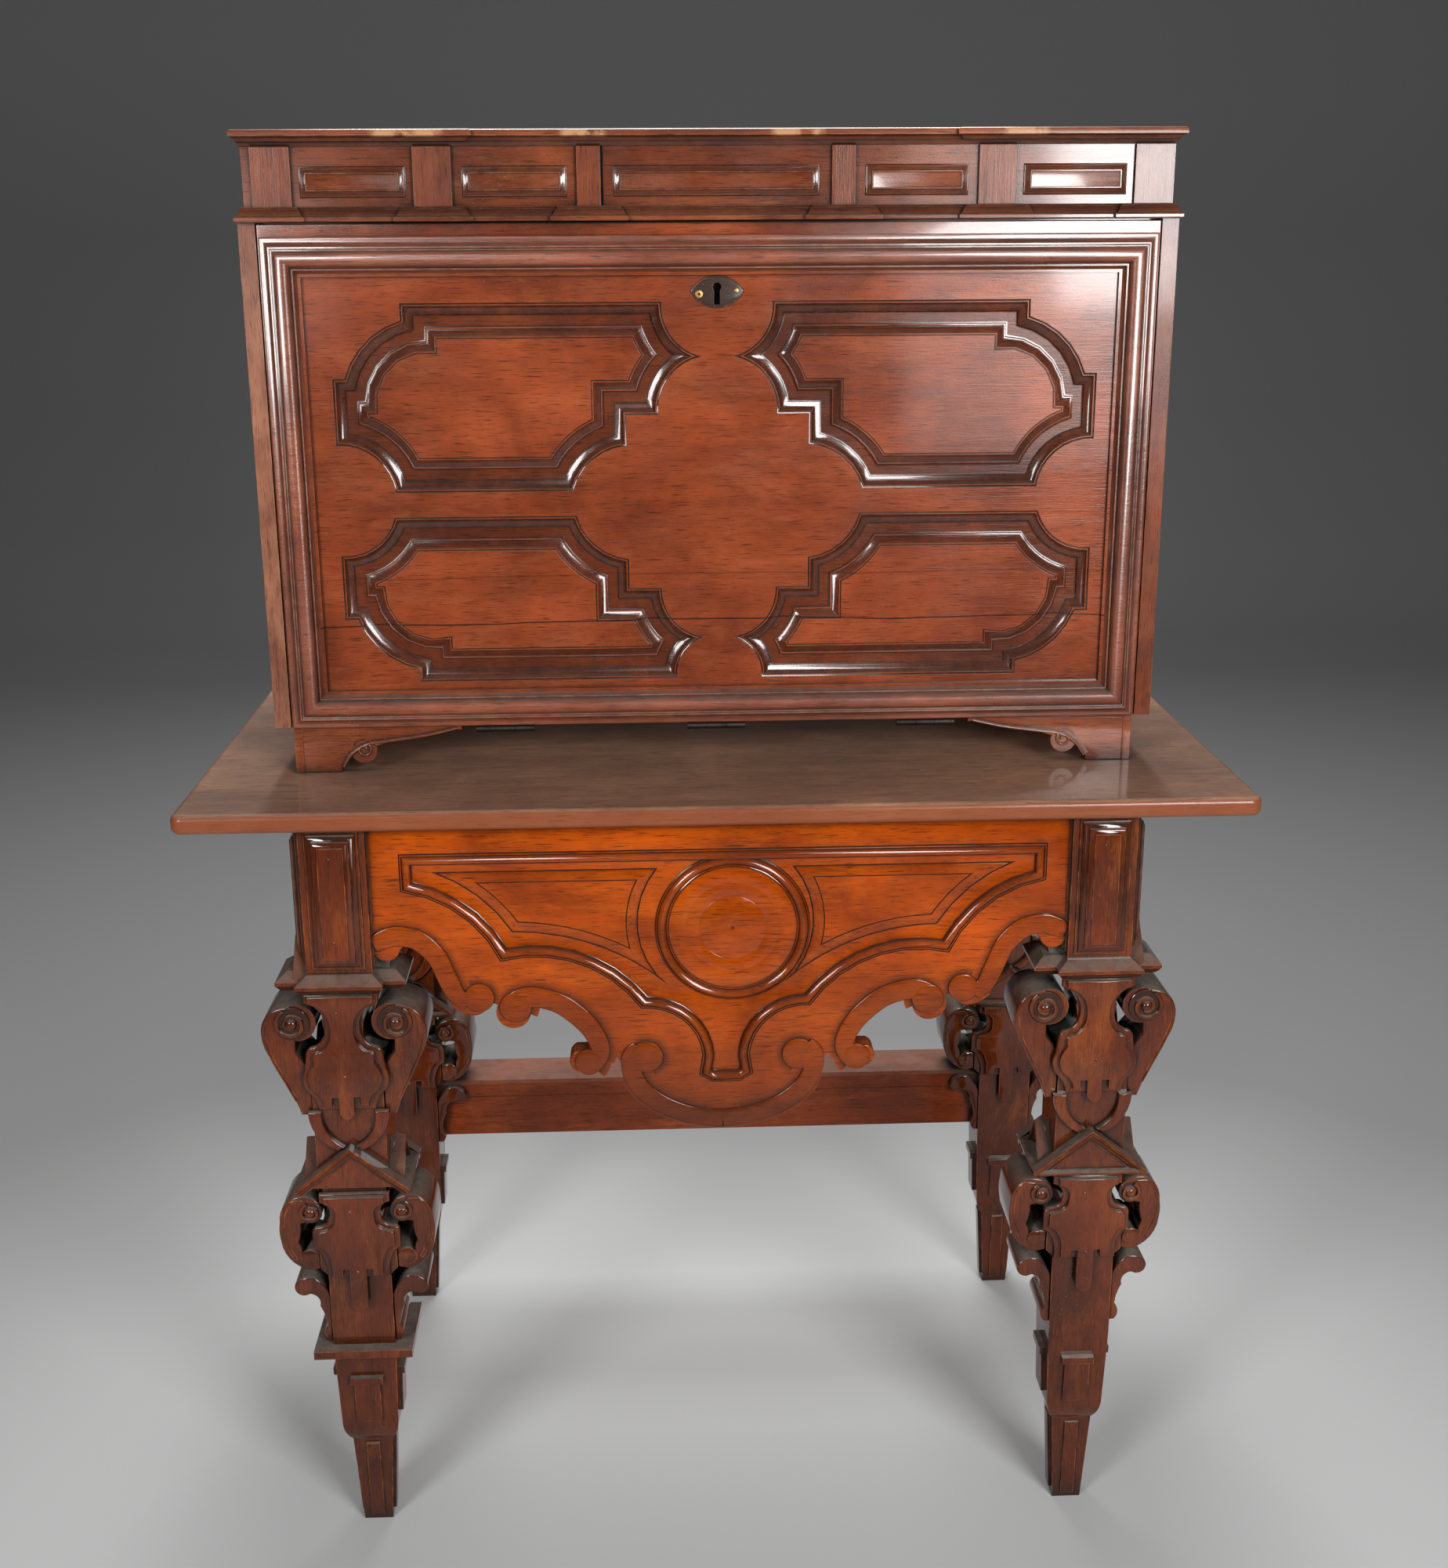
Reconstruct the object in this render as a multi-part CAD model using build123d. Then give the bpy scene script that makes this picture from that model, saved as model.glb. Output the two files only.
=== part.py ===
from build123d import *
import os
from math import atan, atan2, hypot, pi, sin, tan

# A vargueno: a fall-front writing chest with a box lid, standing on a table
# with four two-tier scroll legs.  Millimetres, +Z up, floor at Z = 0,
# X = 0 on the centre line, Y = 0 at the middle of the table's depth, front at -Y.

# ------------------------------------------------------------------ table
table_width = 1176
table_depth = 610
table_thickness = 22
table_nosing = 7
table_corner = 12
table_end_overhang = 130
table_side_overhang = 21

# ------------------------------------------------------------------ legs, floor to table
foot_taper_height = 124
foot_block_height = 121
foot_plate = 10
lower_tier_height = 200
mid_plate = 8
upper_tier_height = 237
capital_plate = 12
post_height = 178

post_half = 36
sole_half = 17
ankle_half = 23.5
block_foot_half = 33
ankle_flare = 22
upper_core_half = 40
lower_core_half = 44
upper_waist_half = 23
lower_waist_half = 27
waist_shoulder = 8
upper_waist_drop = 36
upper_belly_drop = 88
lower_waist_drop = 26
lower_belly_drop = 54
lower_belly_end = 100
leg_blank = 60
shield_layer = 6
bracket_half_depth = 34
tail_thickness = 7
gable_height = 52
gable_half_span = 66
gable_bar = 13
gable_depth = 17
side_gable_height = 44
capital_gable_inner = 17
capital_half_width = 72
capital_nose_half = 48
plate_reach = 15

# ------------------------------------------------------------------ aprons and stretcher
apron_thickness = 26
apron_setback = 8
rail_thickness = 22
rail_height = 110
stretcher_bottom = 262
stretcher_height = 84
stretcher_half = 18
stretcher_shelf = 52
stretcher_cap = 26
stretcher_cap_reach = 5

# ------------------------------------------------------------------ chest
case_width = 1000
case_depth = 440
case_front_setback = 159
case_height = 548
case_side = 18
case_bottom_thickness = 20
case_top_thickness = 20
case_back_thickness = 18
foot_height = 54
foot_inset = 20
foot_length = 190
foot_thickness = 18

# ------------------------------------------------------------------ fall front
fall_thickness = 25
fall_side_gap = 1
fall_top_gap = 1.5
fall_back_gap = 2
strip_side = 6
strip_top = 16
moulding_width = 36
moulding_torus = 22
moulding_proud = 14
moulding_inner_proud = 5
field_sink = 4
band_width = 38
band_shoulder = 12
band_depth = 8
fall_centre = 4

# ------------------------------------------------------------------ lid
lid_gap = 0.5
lid_inset = 8
lid_height = 80
lid_wall = 16
lid_board = 12
lid_board_reach = 9
lid_board_lip = 5
cornice_bed = 5
cornice_bed_reach = 3
crown_lead = 15
base_mould_height = 15
base_mould_reach = 9
break_reach = 6
break_half = 32
pilaster_proud = 5
panel_proud = 6
end_pilaster = 41
end_pilaster_inset = 2
middle_pilaster = 40
inner_pilaster = 25
centre_bay = 244
inner_bay = 131
centre_bay_margin = 13
inner_bay_margin = 10.5
outer_bay_margin = 8
panel_foot_margin = 10
panel_head_margin = 19.5
shrinkage_gap = 2.5
shrinkage_depth = 5

# ------------------------------------------------------------------ lock and hinges
lock_width = 90
lock_height = 74
lock_depth = 15
lock_below_top = 21
bolt_width = 30
bolt_thickness = 6
bolt_length = 60
bolt_throw = 8
bolt_clearance = 0.6
escutcheon_length = 57
escutcheon_height = 33
escutcheon_thickness = 1.6
escutcheon_below_top = 73
keyhole_radius = 4
nail_radius = 3.4
knuckle_radius = 4
pin_radius = 1.8
pin_clearance = 0.05
leaf_thickness = 1.6
leaf_length = 34
knuckle_length = 22
knuckle_gap = 0.4
knuckle_relief = 0.3
fall_hinge_clear = 17
lid_hinge_inset = 180

# ------------------------------------------------------------------ nest of drawers
nest_gap = 1
nest_setback = 26
nest_board = 9
nest_side_column = 232
drawer_gap = 1
drawer_front = 12
drawer_wall = 6
drawer_base = 5
cupboard_height = 330
knob_radius = 9

# ------------------------------------------------------------------ levels and planes
z_block = foot_taper_height
z_plate = z_block + foot_block_height
z_lower = z_plate + foot_plate
z_mid = z_lower + lower_tier_height
z_upper = z_mid + mid_plate
z_capital = z_upper + upper_tier_height
z_post = z_capital + capital_plate
z_rail_top = z_post + post_height
z_table = z_rail_top + table_thickness

leg_x = table_width / 2 - table_end_overhang - post_half
leg_y = table_depth / 2 - table_side_overhang - post_half
post_inner_x = leg_x - post_half
post_inner_y = leg_y - post_half

case_half = case_width / 2
case_front = -table_depth / 2 + case_front_setback
case_back = case_front + case_depth
case_inner_half = case_half - case_side
z_case = z_table + foot_height
z_case_top = z_case + case_height
fall_half = case_inner_half - fall_side_gap
fall_back = case_front + fall_thickness
board_front = fall_back + fall_back_gap
z_fall_top = z_case_top - fall_top_gap
field_face = case_front + field_sink
z_lid = z_case_top + lid_gap
z_lid_top = z_lid + lid_height
lid_half = case_half - lid_inset
lid_front = case_front + 2
pilaster_end = lid_half - fall_centre - end_pilaster_inset
middle_pilaster_near = centre_bay / 2 + inner_pilaster + inner_bay
pilaster_spans = ((pilaster_end - end_pilaster, pilaster_end),
                  (middle_pilaster_near, middle_pilaster_near + middle_pilaster),
                  (centre_bay / 2, centre_bay / 2 + inner_pilaster))
panel_spans = ((middle_pilaster_near + middle_pilaster + outer_bay_margin,
                pilaster_end - end_pilaster - outer_bay_margin),
               (centre_bay / 2 + inner_pilaster + inner_bay_margin,
                middle_pilaster_near - inner_bay_margin),
               (-centre_bay / 2 + centre_bay_margin, centre_bay / 2 - centre_bay_margin))
fall_axis_z = z_case - knuckle_radius - 0.5
lid_axis_y = case_back + knuckle_radius + knuckle_relief
lid_axis_z = z_case_top + lid_gap / 2
fall_hinge_reach = case_half - foot_inset - foot_length - 1.5 * knuckle_length - fall_hinge_clear
fall_hinge_places = (-fall_hinge_reach, 0, fall_hinge_reach)
lid_hinge_places = (-case_half + lid_hinge_inset, 0, case_half - lid_hinge_inset)

parts = {}


# ------------------------------------------------------------------ drawing helpers
def outline(points):
    """A closed face in XY from (x, y, bulge) corners; bulge is twice the rise over the chord."""
    edges = []
    for (x0, y0, bulge), (x1, y1, _) in zip(points, points[1:] + points[:1]):
        if bulge:
            rise = bulge / 2
            middle = ((x0 + x1) / 2 - rise * (y1 - y0), (y0 + y1) / 2 + rise * (x1 - x0))
            edges.append(ThreePointArc((x0, y0), middle, (x1, y1)))
        else:
            edges.append(Line((x0, y0), (x1, y1)))
    return make_face(edges)


def both_sides(half):
    """Completes a right-hand half outline, listed from the top down, with its mirror image."""
    bulges = [bulge for _, _, bulge in half[:-1]]
    right = list(half[:-1]) + [(half[-1][0], half[-1][1], 0)]
    left = [(-x, y, bulge) for (x, y, _), bulge in zip(reversed(half), bulges[::-1] + [0])]
    full = right + left
    return [p for p, following in zip(full, full[1:] + full[:1]) if p[:2] != following[:2]]


def hung(points, top):
    """Turns distances below a level into heights."""
    return [(x, top - down, bulge) for x, down, bulge in points]


def shifted(points, across):
    """The same outline moved sideways."""
    return [(x + across, z, bulge) for x, z, bulge in points]


def stretched(points, wider, taller):
    """An outline fitted to a board of another width and height."""
    return [(x * wider, y * taller, bulge) for x, y, bulge in points]


def arc_centre(start, end, bulge):
    """Centre and radius of the arc between two corners of an outline."""
    chord = hypot(end[0] - start[0], end[1] - start[1])
    half_angle = 2 * atan(bulge)
    radius = abs(chord / 2 / sin(half_angle))
    back = chord / 2 / tan(half_angle)
    left = ((start[1] - end[1]) / chord, (end[0] - start[0]) / chord)
    centre = ((start[0] + end[0]) / 2 - left[0] * back, (start[1] + end[1]) / 2 - left[1] * back)
    return centre, radius


def moved_edge(start, end, bulge, distance):
    """The line or circle that carries an edge after it has moved into a clockwise outline."""
    if bulge:
        centre, radius = arc_centre(start, end, bulge)
        return ("circle", centre, radius - distance if bulge > 0 else radius + distance)
    length = hypot(end[0] - start[0], end[1] - start[1])
    along = ((end[0] - start[0]) / length, (end[1] - start[1]) / length)
    return ("line", (start[0] + along[1] * distance, start[1] - along[0] * distance), along)


def meeting(first, second, near):
    """Where two moved edges meet, taking the crossing closest to the old corner."""
    if first[0] == "line" and second[0] == "line":
        (px, py), (ux, uy) = first[1:]
        (qx, qy), (vx, vy) = second[1:]
        along = ((qx - px) * vy - (qy - py) * vx) / (ux * vy - uy * vx)
        return px + along * ux, py + along * uy
    if first[0] == "circle" and second[0] == "circle":
        (cx, cy), r = first[1:]
        (dx, dy), s = second[1:]
        span = hypot(dx - cx, dy - cy)
        reach = (span * span + r * r - s * s) / (2 * span)
        rise = max(r * r - reach * reach, 0) ** 0.5
        ux, uy = (dx - cx) / span, (dy - cy) / span
        foot = (cx + reach * ux, cy + reach * uy)
    else:
        line, circle = (first, second) if first[0] == "line" else (second, first)
        (px, py), (vx, vy) = line[1:]
        (cx, cy), r = circle[1:]
        along = (cx - px) * vx + (cy - py) * vy
        foot = (px + along * vx, py + along * vy)
        rise = max(r * r - (foot[0] - cx) ** 2 - (foot[1] - cy) ** 2, 0) ** 0.5
        ux, uy = -vy, vx
    choices = [(foot[0] - rise * uy, foot[1] + rise * ux), (foot[0] + rise * uy, foot[1] - rise * ux)]
    return min(choices, key=lambda c: hypot(c[0] - near[0], c[1] - near[1]))


def inset(points, distance):
    """A clockwise outline drawn again at a distance inside itself, with mitred corners."""
    ends = points[1:] + points[:1]
    edges = [moved_edge(a[:2], b[:2], a[2], distance) for a, b in zip(points, ends)]
    corners = [meeting(before, edge, p[:2])
               for before, edge, p in zip(edges[-1:] + edges[:-1], edges, points)]
    result = []
    for corner, following, edge in zip(corners, corners[1:] + corners[:1], edges):
        bulge = 0
        if edge[0] == "circle":
            cx, cy = edge[1]
            sweep = (atan2(following[1] - cy, following[0] - cx) - atan2(corner[1] - cy, corner[0] - cx))
            sweep = (sweep + pi) % (2 * pi) - pi
            bulge = -tan(sweep / 4)
        result.append((corner[0], corner[1], bulge))
    return result


def plate(points, front, back):
    """An upright board in the XZ plane, between two values of Y."""
    return extrude(Plane.XZ.offset(-back) * outline(points), amount=back - front)


def block(x, y, z):
    """A box from its low and high limits on each axis."""
    size = (x[1] - x[0], y[1] - y[0], z[1] - z[0])
    return Pos((x[0] + x[1]) / 2, (y[0] + y[1]) / 2, (z[0] + z[1]) / 2) * Box(*size)


def rod(x, y, z, radius, length):
    """A round bar along X, from its middle."""
    return Pos(x, y, z) * Rot(0, 90, 0) * Cylinder(radius, length)


def flipped(points):
    """The mirror image of an outline, left for right."""
    turned = [(-x, y) for x, y, _ in reversed(points)]
    bulges = [b for _, _, b in reversed(points)]
    bulges = bulges[1:] + bulges[:1]
    return [(x, y, b) for (x, y), b in zip(turned, bulges)]


def keep(name, *solids):
    """Stores one sub-part: a single solid, or a group of separate ones."""
    flat = []
    for solid in solids:
        flat.extend(solid.solids())
    parts[name] = flat[0] if len(flat) == 1 else Compound(children=flat)


# ------------------------------------------------------------------ table top
def make_table_top():
    top = block((-table_width / 2, table_width / 2), (-table_depth / 2, table_depth / 2),
                (z_rail_top, z_table))
    top = fillet(top.edges().filter_by(Axis.Z), table_corner)
    rims = top.faces().sort_by(Axis.Z)[-1].edges() + top.faces().sort_by(Axis.Z)[0].edges()
    keep("table_top", fillet(rims, table_nosing))


# ------------------------------------------------------------------ front apron
apron_edge = [
    (0, 0, 0), (386, 0, 0), (386, 146, 0.85), (356, 146, 0), (350, 140, -0.28),
    (322, 162, 0), (302, 214, 0.2), (276, 226, 0.38), (259, 207, 0.15), (255, 196, 0),
    (251, 215, 1.1), (215, 228, 0), (213, 216, -0.14), (170, 229, -0.29), (148, 262, 0),
    (152, 272, 0), (164, 272, 0.8), (160, 298, 0.31), (132, 291, 0), (121, 280, 0),
    (114, 286, 0.15), (107, 324, 0.13), (66, 356, 0.13), (0, 370, 0)]
apron_panel = [
    (356, 34, 0), (356, 78, -0.264), (250, 162, -0.325), (95, 222, -0.42),
    (27, 279, 0), (31, 304, 0), (16, 313, 0)]
apron_field = [
    (76, 56, 0), (320, 56, -0.17), (236, 128, -0.185), (66, 193, -0.36)]
apron_drawn_half = 386
apron_drawn_drop = 370
apron_drop = 370
apron_shoulder = 15
apron_sink = 6
apron_middle = 4
apron_ring_x = 12
apron_ring_down = 127
apron_ring_outer = 87
apron_ring_middle = 83
apron_disc = 71
apron_ring_proud = 3


def make_aprons():
    front = -leg_y - post_half + apron_setback
    back = front + apron_thickness
    wider, deeper = post_inner_x / apron_drawn_half, apron_drop / apron_drawn_drop
    edge, panel, field = [hung(stretched(points, wider, deeper), z_rail_top)
                          for points in (apron_edge, apron_panel, apron_field)]
    board = plate(both_sides(edge), front, back)
    panel = shifted(both_sides(panel), apron_middle)
    board = board - plate(panel, front, front + apron_sink / 2)
    board = board - plate(inset(panel, apron_shoulder), front, front + apron_sink)
    for points in (field, flipped(field)):
        board = board + plate(shifted(points, apron_middle), front, front + apron_sink)
    ring_z = z_rail_top - apron_ring_down * deeper
    seat = Pos(apron_ring_x, front + apron_sink, ring_z) * Rot(90, 0, 0)
    for radius, height in ((apron_ring_outer, apron_sink - apron_ring_proud),
                           (apron_ring_middle, apron_sink)):
        disc = seat * Cylinder(radius, height, align=(Align.CENTER, Align.CENTER, Align.MIN))
        board = board + disc
    sunk = Pos(apron_ring_x, front, ring_z) * Rot(-90, 0, 0)
    board = board - sunk * Cylinder(apron_disc, apron_sink / 2,
                                    align=(Align.CENTER, Align.CENTER, Align.MIN))
    keep("apron_front", board)
    rail_low = z_rail_top - rail_height
    keep("apron_back", block((-post_inner_x, post_inner_x),
                             (leg_y - rail_thickness / 2, leg_y + rail_thickness / 2),
                             (rail_low, z_rail_top)))
    for name, side in (("apron_left", -1), ("apron_right", 1)):
        near, far = sorted((side * (leg_x - rail_thickness / 2), side * (leg_x + rail_thickness / 2)))
        keep(name, block((near, far), (-post_inner_y, post_inner_y), (rail_low, z_rail_top)))


# ------------------------------------------------------------------ legs
def foot_outline(grow=0.0):
    """The square block and the tapering foot under it, one half, from the block down."""
    return [(post_half + grow, z_plate, 0),
            (block_foot_half + grow, z_block + ankle_flare, 0.15),
            (ankle_half + grow, z_block - 6, 0),
            (sole_half + grow, 0, 0),
            (0, 0, 0)]


def make_leg_core():
    tiers = [(0, z_rail_top, 0),
             (post_half, z_rail_top, 0),
             (post_half, z_capital - waist_shoulder, -0.35),
             (upper_waist_half, z_capital - upper_waist_drop, -0.3),
             (upper_core_half, z_capital - upper_belly_drop, 0),
             (upper_core_half, z_upper, 0),
             (post_half, z_upper, 0),
             (post_half, z_mid - waist_shoulder, -0.4),
             (lower_waist_half, z_mid - lower_waist_drop, -0.35),
             (lower_core_half, z_mid - lower_belly_drop, 0),
             (lower_core_half, z_mid - lower_belly_end, 0),
             (post_half, z_mid - lower_belly_end - waist_shoulder, 0)]
    square = [(0, z_rail_top, 0), (post_half, z_rail_top, 0)]
    wide = Plane.XZ.offset(-leg_blank) * outline(both_sides(tiers + foot_outline()))
    deep = Plane.YZ.offset(-leg_blank) * outline(both_sides(square + foot_outline()))
    return extrude(wide, amount=2 * leg_blank) & extrude(deep, amount=2 * leg_blank)


def foot_panel(half_width, low, high, grow):
    """A raised strip that follows the foot's taper on all four faces."""
    square = [(0, z_rail_top, 0), (post_half + grow, z_rail_top, 0)]
    profile = both_sides(square + foot_outline(grow))
    zone = block((-leg_blank, leg_blank), (-leg_blank, leg_blank), (low, high))
    along_x = extrude(Plane.XZ.offset(-half_width) * outline(profile), amount=2 * half_width)
    along_y = extrude(Plane.YZ.offset(-half_width) * outline(profile), amount=2 * half_width)
    return (along_x + along_y) & zone


shield_upper = [
    (0, 2, 0), (36, 2, 0), (36, 10, -0.36), (13, 38, -0.3), (26, 68, 0.3), (34, 72, 0),
    (33, 82, 0), (38.5, 90, 0.35), (34, 116, -0.2), (25, 130, 0), (25, 134, 0), (16, 134, 0),
    (16, 123, 0), (8.5, 123, 0), (8.5, 143, 0.2), (0, 152, 0)]
shield_upper_back = [
    (0, 1, 0), (41, 1, 0), (41, 11, -0.36), (19, 39, -0.3), (33, 64, 0.3), (42, 70, 0),
    (45, 92, 0.35), (41, 120, -0.2), (32, 140, 0), (0, 140, 0)]
shield_lower = [
    (0, 3, 0), (34, 3, 0), (34, 11, -0.45), (22, 27, -0.4), (38, 46, 0.3), (44, 50, 0),
    (44, 64, 0), (37, 68, -0.2), (29, 96, 0), (29, 104, 0), (17, 104, 0), (17, 95, 0),
    (9.5, 95, 0), (9.5, 143, 0.2), (0, 151, 0)]
shield_lower_back = [
    (0, 1, 0), (40, 1, 0), (40, 12, -0.45), (29, 28, -0.4), (44, 43, 0.3), (50, 48, 0),
    (50, 70, 0), (43, 74, -0.2), (36, 108, 0), (0, 108, 0)]
bracket_upper = [
    (0, 150, 0), (0, 92, 0), (15, 74, 0), (15, 60, 1.25), (19, 18, 0.12), (42, 26, 0.22),
    (52, 50, 0.12), (46, 76, -0.06), (29, 110, -0.04), (13, 150, 0)]
scroll_lower = [
    (0, 100, 0), (0, 77, 0.2), (14, 76, 0), (20, 82, 0.15), (24, 66, 0.12), (20, 42, 0),
    (14, 41, 0.9), (3, 12, 0.2), (26, 9, 0.3), (44, 40, 0.1), (44, 64, 0.3), (16, 102, 0.15)]
scroll_foot = [
    (0, 197, 0), (0, 136, 0.15), (16, 113, 0.3), (38, 118, 0.9), (24, 134, -0.5), (13, 150, -0.1),
    (6, 174, -0.3), (7, 178, 0.4), (6, 197, 0)]
tail = [
    (30, 143, 0), (45, 143, 0.3), (14, 192, 0), (6, 187, -0.3)]


def gable(half_span, height, bar, front, back):
    """A pediment: two raking bars over a thinner filling."""
    frame = outline([(-half_span, 0, 0), (0, height, 0), (half_span, 0, 0)])
    slope = hypot(half_span, height) / half_span
    drop = bar * slope
    reach = half_span * (1 - drop / height)
    hole = outline([(-reach, 0, 0), (0, height - drop, 0), (reach, 0, 0)])
    bars = extrude(Plane.XZ.offset(-back) * frame, amount=back - front)
    filling_front = back - (back - front) / 2
    sink = extrude(Plane.XZ.offset(-filling_front) * hole, amount=filling_front - front)
    return bars - sink


def make_leg(name, x, y, foot_plate_kept, mid_plate_front_kept):
    place = Pos(x, y, 0)
    core = make_leg_core()
    core = core + foot_panel(15, z_block + 26, z_plate - 42, 4)
    core = core + foot_panel(19, z_plate - 42, z_plate - 33, 7)
    core = core + foot_panel(8, 8, z_block - 12, 3)
    nose = -post_half - plate_reach
    if foot_plate_kept:
        core = core + block((-post_half - 21, post_half + 21), (nose, -nose), (z_plate, z_lower))
    keep(name, place * core)

    pieces = []
    for turn in (0, 180):
        for hang, front_layer, back_layer in ((z_capital, shield_upper, shield_upper_back),
                                              (z_mid, shield_lower, shield_lower_back)):
            rear = -post_half
            middle = rear - shield_layer
            inner = plate(both_sides(hung(back_layer, hang)), middle, rear)
            outer = plate(both_sides(hung(front_layer, hang)), middle - shield_layer, middle)
            pieces.append(Rot(0, 0, turn) * (inner + outer))
    keep(name + "_shields", *[place * piece for piece in pieces])

    pieces = []
    for side in (-1, 1):
        beside_stretcher = y > 0 and side * x < 0
        foot_back = -stretcher_half - stretcher_cap_reach if beside_stretcher else bracket_half_depth
        for hang, reach, shape, back in ((z_capital, upper_core_half, bracket_upper, bracket_half_depth),
                                         (z_mid, lower_core_half, scroll_lower, bracket_half_depth),
                                         (z_mid, post_half, scroll_foot, foot_back)):
            shape = hung([(reach + u, w, b) for u, w, b in shape], hang)
            shape = shape if side > 0 else flipped(shape)
            pieces.append(plate(shape, -bracket_half_depth, back))
        for front in (-post_half - tail_thickness, post_half):
            shape = hung(tail, z_capital)
            shape = shape if side > 0 else flipped(shape)
            pieces.append(plate(shape, front, front + tail_thickness))
    keep(name + "_scrolls", *[place * piece for piece in pieces])

    pieces = []
    for turn in (0, 180):
        face = gable(gable_half_span, gable_height, gable_bar, -post_half - gable_depth, -post_half)
        pieces.append(Rot(0, 0, turn) * Pos(0, 0, z_upper) * face)
    for turn in (90, 270):
        inward = (turn == 90) == (x < 0)
        high_top = capital_gable_inner if inward else side_gable_height
        low = gable(post_half - 1, side_gable_height, gable_bar, -upper_core_half - gable_depth,
                    -upper_core_half)
        high = gable(post_half - 1, high_top, gable_bar, -post_half - gable_depth, -post_half)
        pieces.append(Rot(0, 0, turn) * Pos(0, 0, z_upper) * low)
        pieces.append(Rot(0, 0, turn) * Pos(0, 0, z_post) * high)
    wings = block((-capital_half_width, capital_half_width), (-post_half, post_half),
                  (z_capital, z_post))
    nose_block = block((-capital_nose_half, capital_nose_half), (nose, -nose), (z_capital, z_post))
    through = block((-post_half, post_half), (-post_half, post_half), (z_capital, z_post))
    pieces.append(wings + nose_block - through)
    front_edge = nose if mid_plate_front_kept else -post_half
    middle = block((-gable_half_span, gable_half_span), (front_edge, -nose), (z_mid, z_upper))
    through = block((-post_half, post_half), (-post_half, post_half), (z_mid, z_upper))
    pieces.append(middle - through)
    keep(name + "_pediments", *[place * piece for piece in pieces])


# ------------------------------------------------------------------ rear stretcher
def make_stretcher():
    top = stretcher_bottom + stretcher_height
    beam = block((-post_inner_x, post_inner_x), (leg_y - stretcher_half, leg_y + stretcher_half),
                 (stretcher_bottom, top - stretcher_cap))
    cap = block((-post_inner_x, post_inner_x),
                (leg_y - stretcher_half - stretcher_cap_reach, leg_y + stretcher_shelf),
                (top - stretcher_cap, top))
    cap = chamfer(cap.edges().filter_by(Axis.X).group_by(Axis.Y)[0], stretcher_cap_reach - 1)
    keep("stretcher", beam + cap)


# ------------------------------------------------------------------ chest boards
foot_scroll = [
    (0, 0, 0), (190, 0, 0), (190, 6, -0.2), (140, 16, -0.1), (92, 24, 1.0), (64, 34, -0.3),
    (52, foot_height, 0), (0, foot_height, 0)]


def make_chest():
    for name, side in (("case_side_left", -1), ("case_side_right", 1)):
        near, far = sorted((side * case_inner_half, side * case_half))
        keep(name, block((near, far), (case_front, case_back), (z_case, z_case_top)))
    inner = (-case_inner_half, case_inner_half)
    keep("case_bottom", block(inner, (board_front, case_back - case_back_thickness),
                              (z_case, z_case + case_bottom_thickness)))
    keep("case_back", block(inner, (case_back - case_back_thickness, case_back),
                            (z_case, z_case_top)))
    top = block(inner, (board_front, case_back - case_back_thickness),
                (z_case_top - case_top_thickness, z_case_top))
    bolt_y = fall_back + lock_depth / 2
    mortise = block((fall_centre - bolt_width / 2 - 2, fall_centre + bolt_width / 2 + 2),
                    (bolt_y - bolt_thickness / 2 - 2, bolt_y + bolt_thickness / 2 + 2),
                    (z_case_top - case_top_thickness, z_case_top - case_top_thickness / 3))
    keep("case_top", top - mortise)

    pieces = []
    outer = case_half - foot_inset
    left = hung([(u - outer, w, b) for u, w, b in foot_scroll], z_case)
    for points in (left, flipped(left)):
        pieces.append(plate(points, case_front + 2, case_front + 2 + foot_thickness))
        pieces.append(plate(points, case_back - 2 - foot_thickness, case_back - 2))
    for side in (-1, 1):
        near, far = sorted((side * outer, side * (outer - foot_thickness)))
        for front, back in ((case_front + 2 + foot_thickness, case_front + foot_length / 2),
                            (case_back - foot_length / 2, case_back - 2 - foot_thickness)):
            pieces.append(block((near, far), (front, back), (z_table, z_case)))
    keep("bracket_feet", *pieces)


# ------------------------------------------------------------------ fall front
cartouche_upper = [
    (60, 465, 0), (340, 465, 0), (340, 447, 0.25), (403, 386, 0), (416, 386, 0),
    (416, 315, -0.4), (354, 263, 0), (160, 263, -0.316), (100, 312, 0), (100, 345, 0),
    (65, 345, -0.387), (17, 407, -0.376)]
cartouche_lower = [
    (157, 236, 0), (357, 236, -0.36), (418, 194, 0), (418, 122, 0), (404, 122, 0.25),
    (338, 64, 0), (338, 50, 0), (48, 50, -0.35), (17, 97, -0.38), (64, 154, 0),
    (100, 154, 0), (100, 187, -0.316)]
fall_drawn_half = 481
fall_drawn_height = 546.5
cartouche_split = 200
upper_cartouche_split = 330
lower_cartouche_split = 170


def lengthened(points, split_x, split_z, wider, low_rise, high_rise):
    """An outline fitted to a larger board by its straight edges alone, so every arc keeps its shape."""
    return [(x + (wider if x > split_x else 0), z + (high_rise if z > split_z else low_rise), bulge)
            for x, z, bulge in points]


def rectangle_ring(half_width, low, high, width, front, back):
    """A picture-frame ring in the XZ plane."""
    outer = block((-half_width, half_width), (front, back), (low, high))
    inner = block((-half_width + width, half_width - width), (front, back), (low + width, high - width))
    return outer - inner


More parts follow.
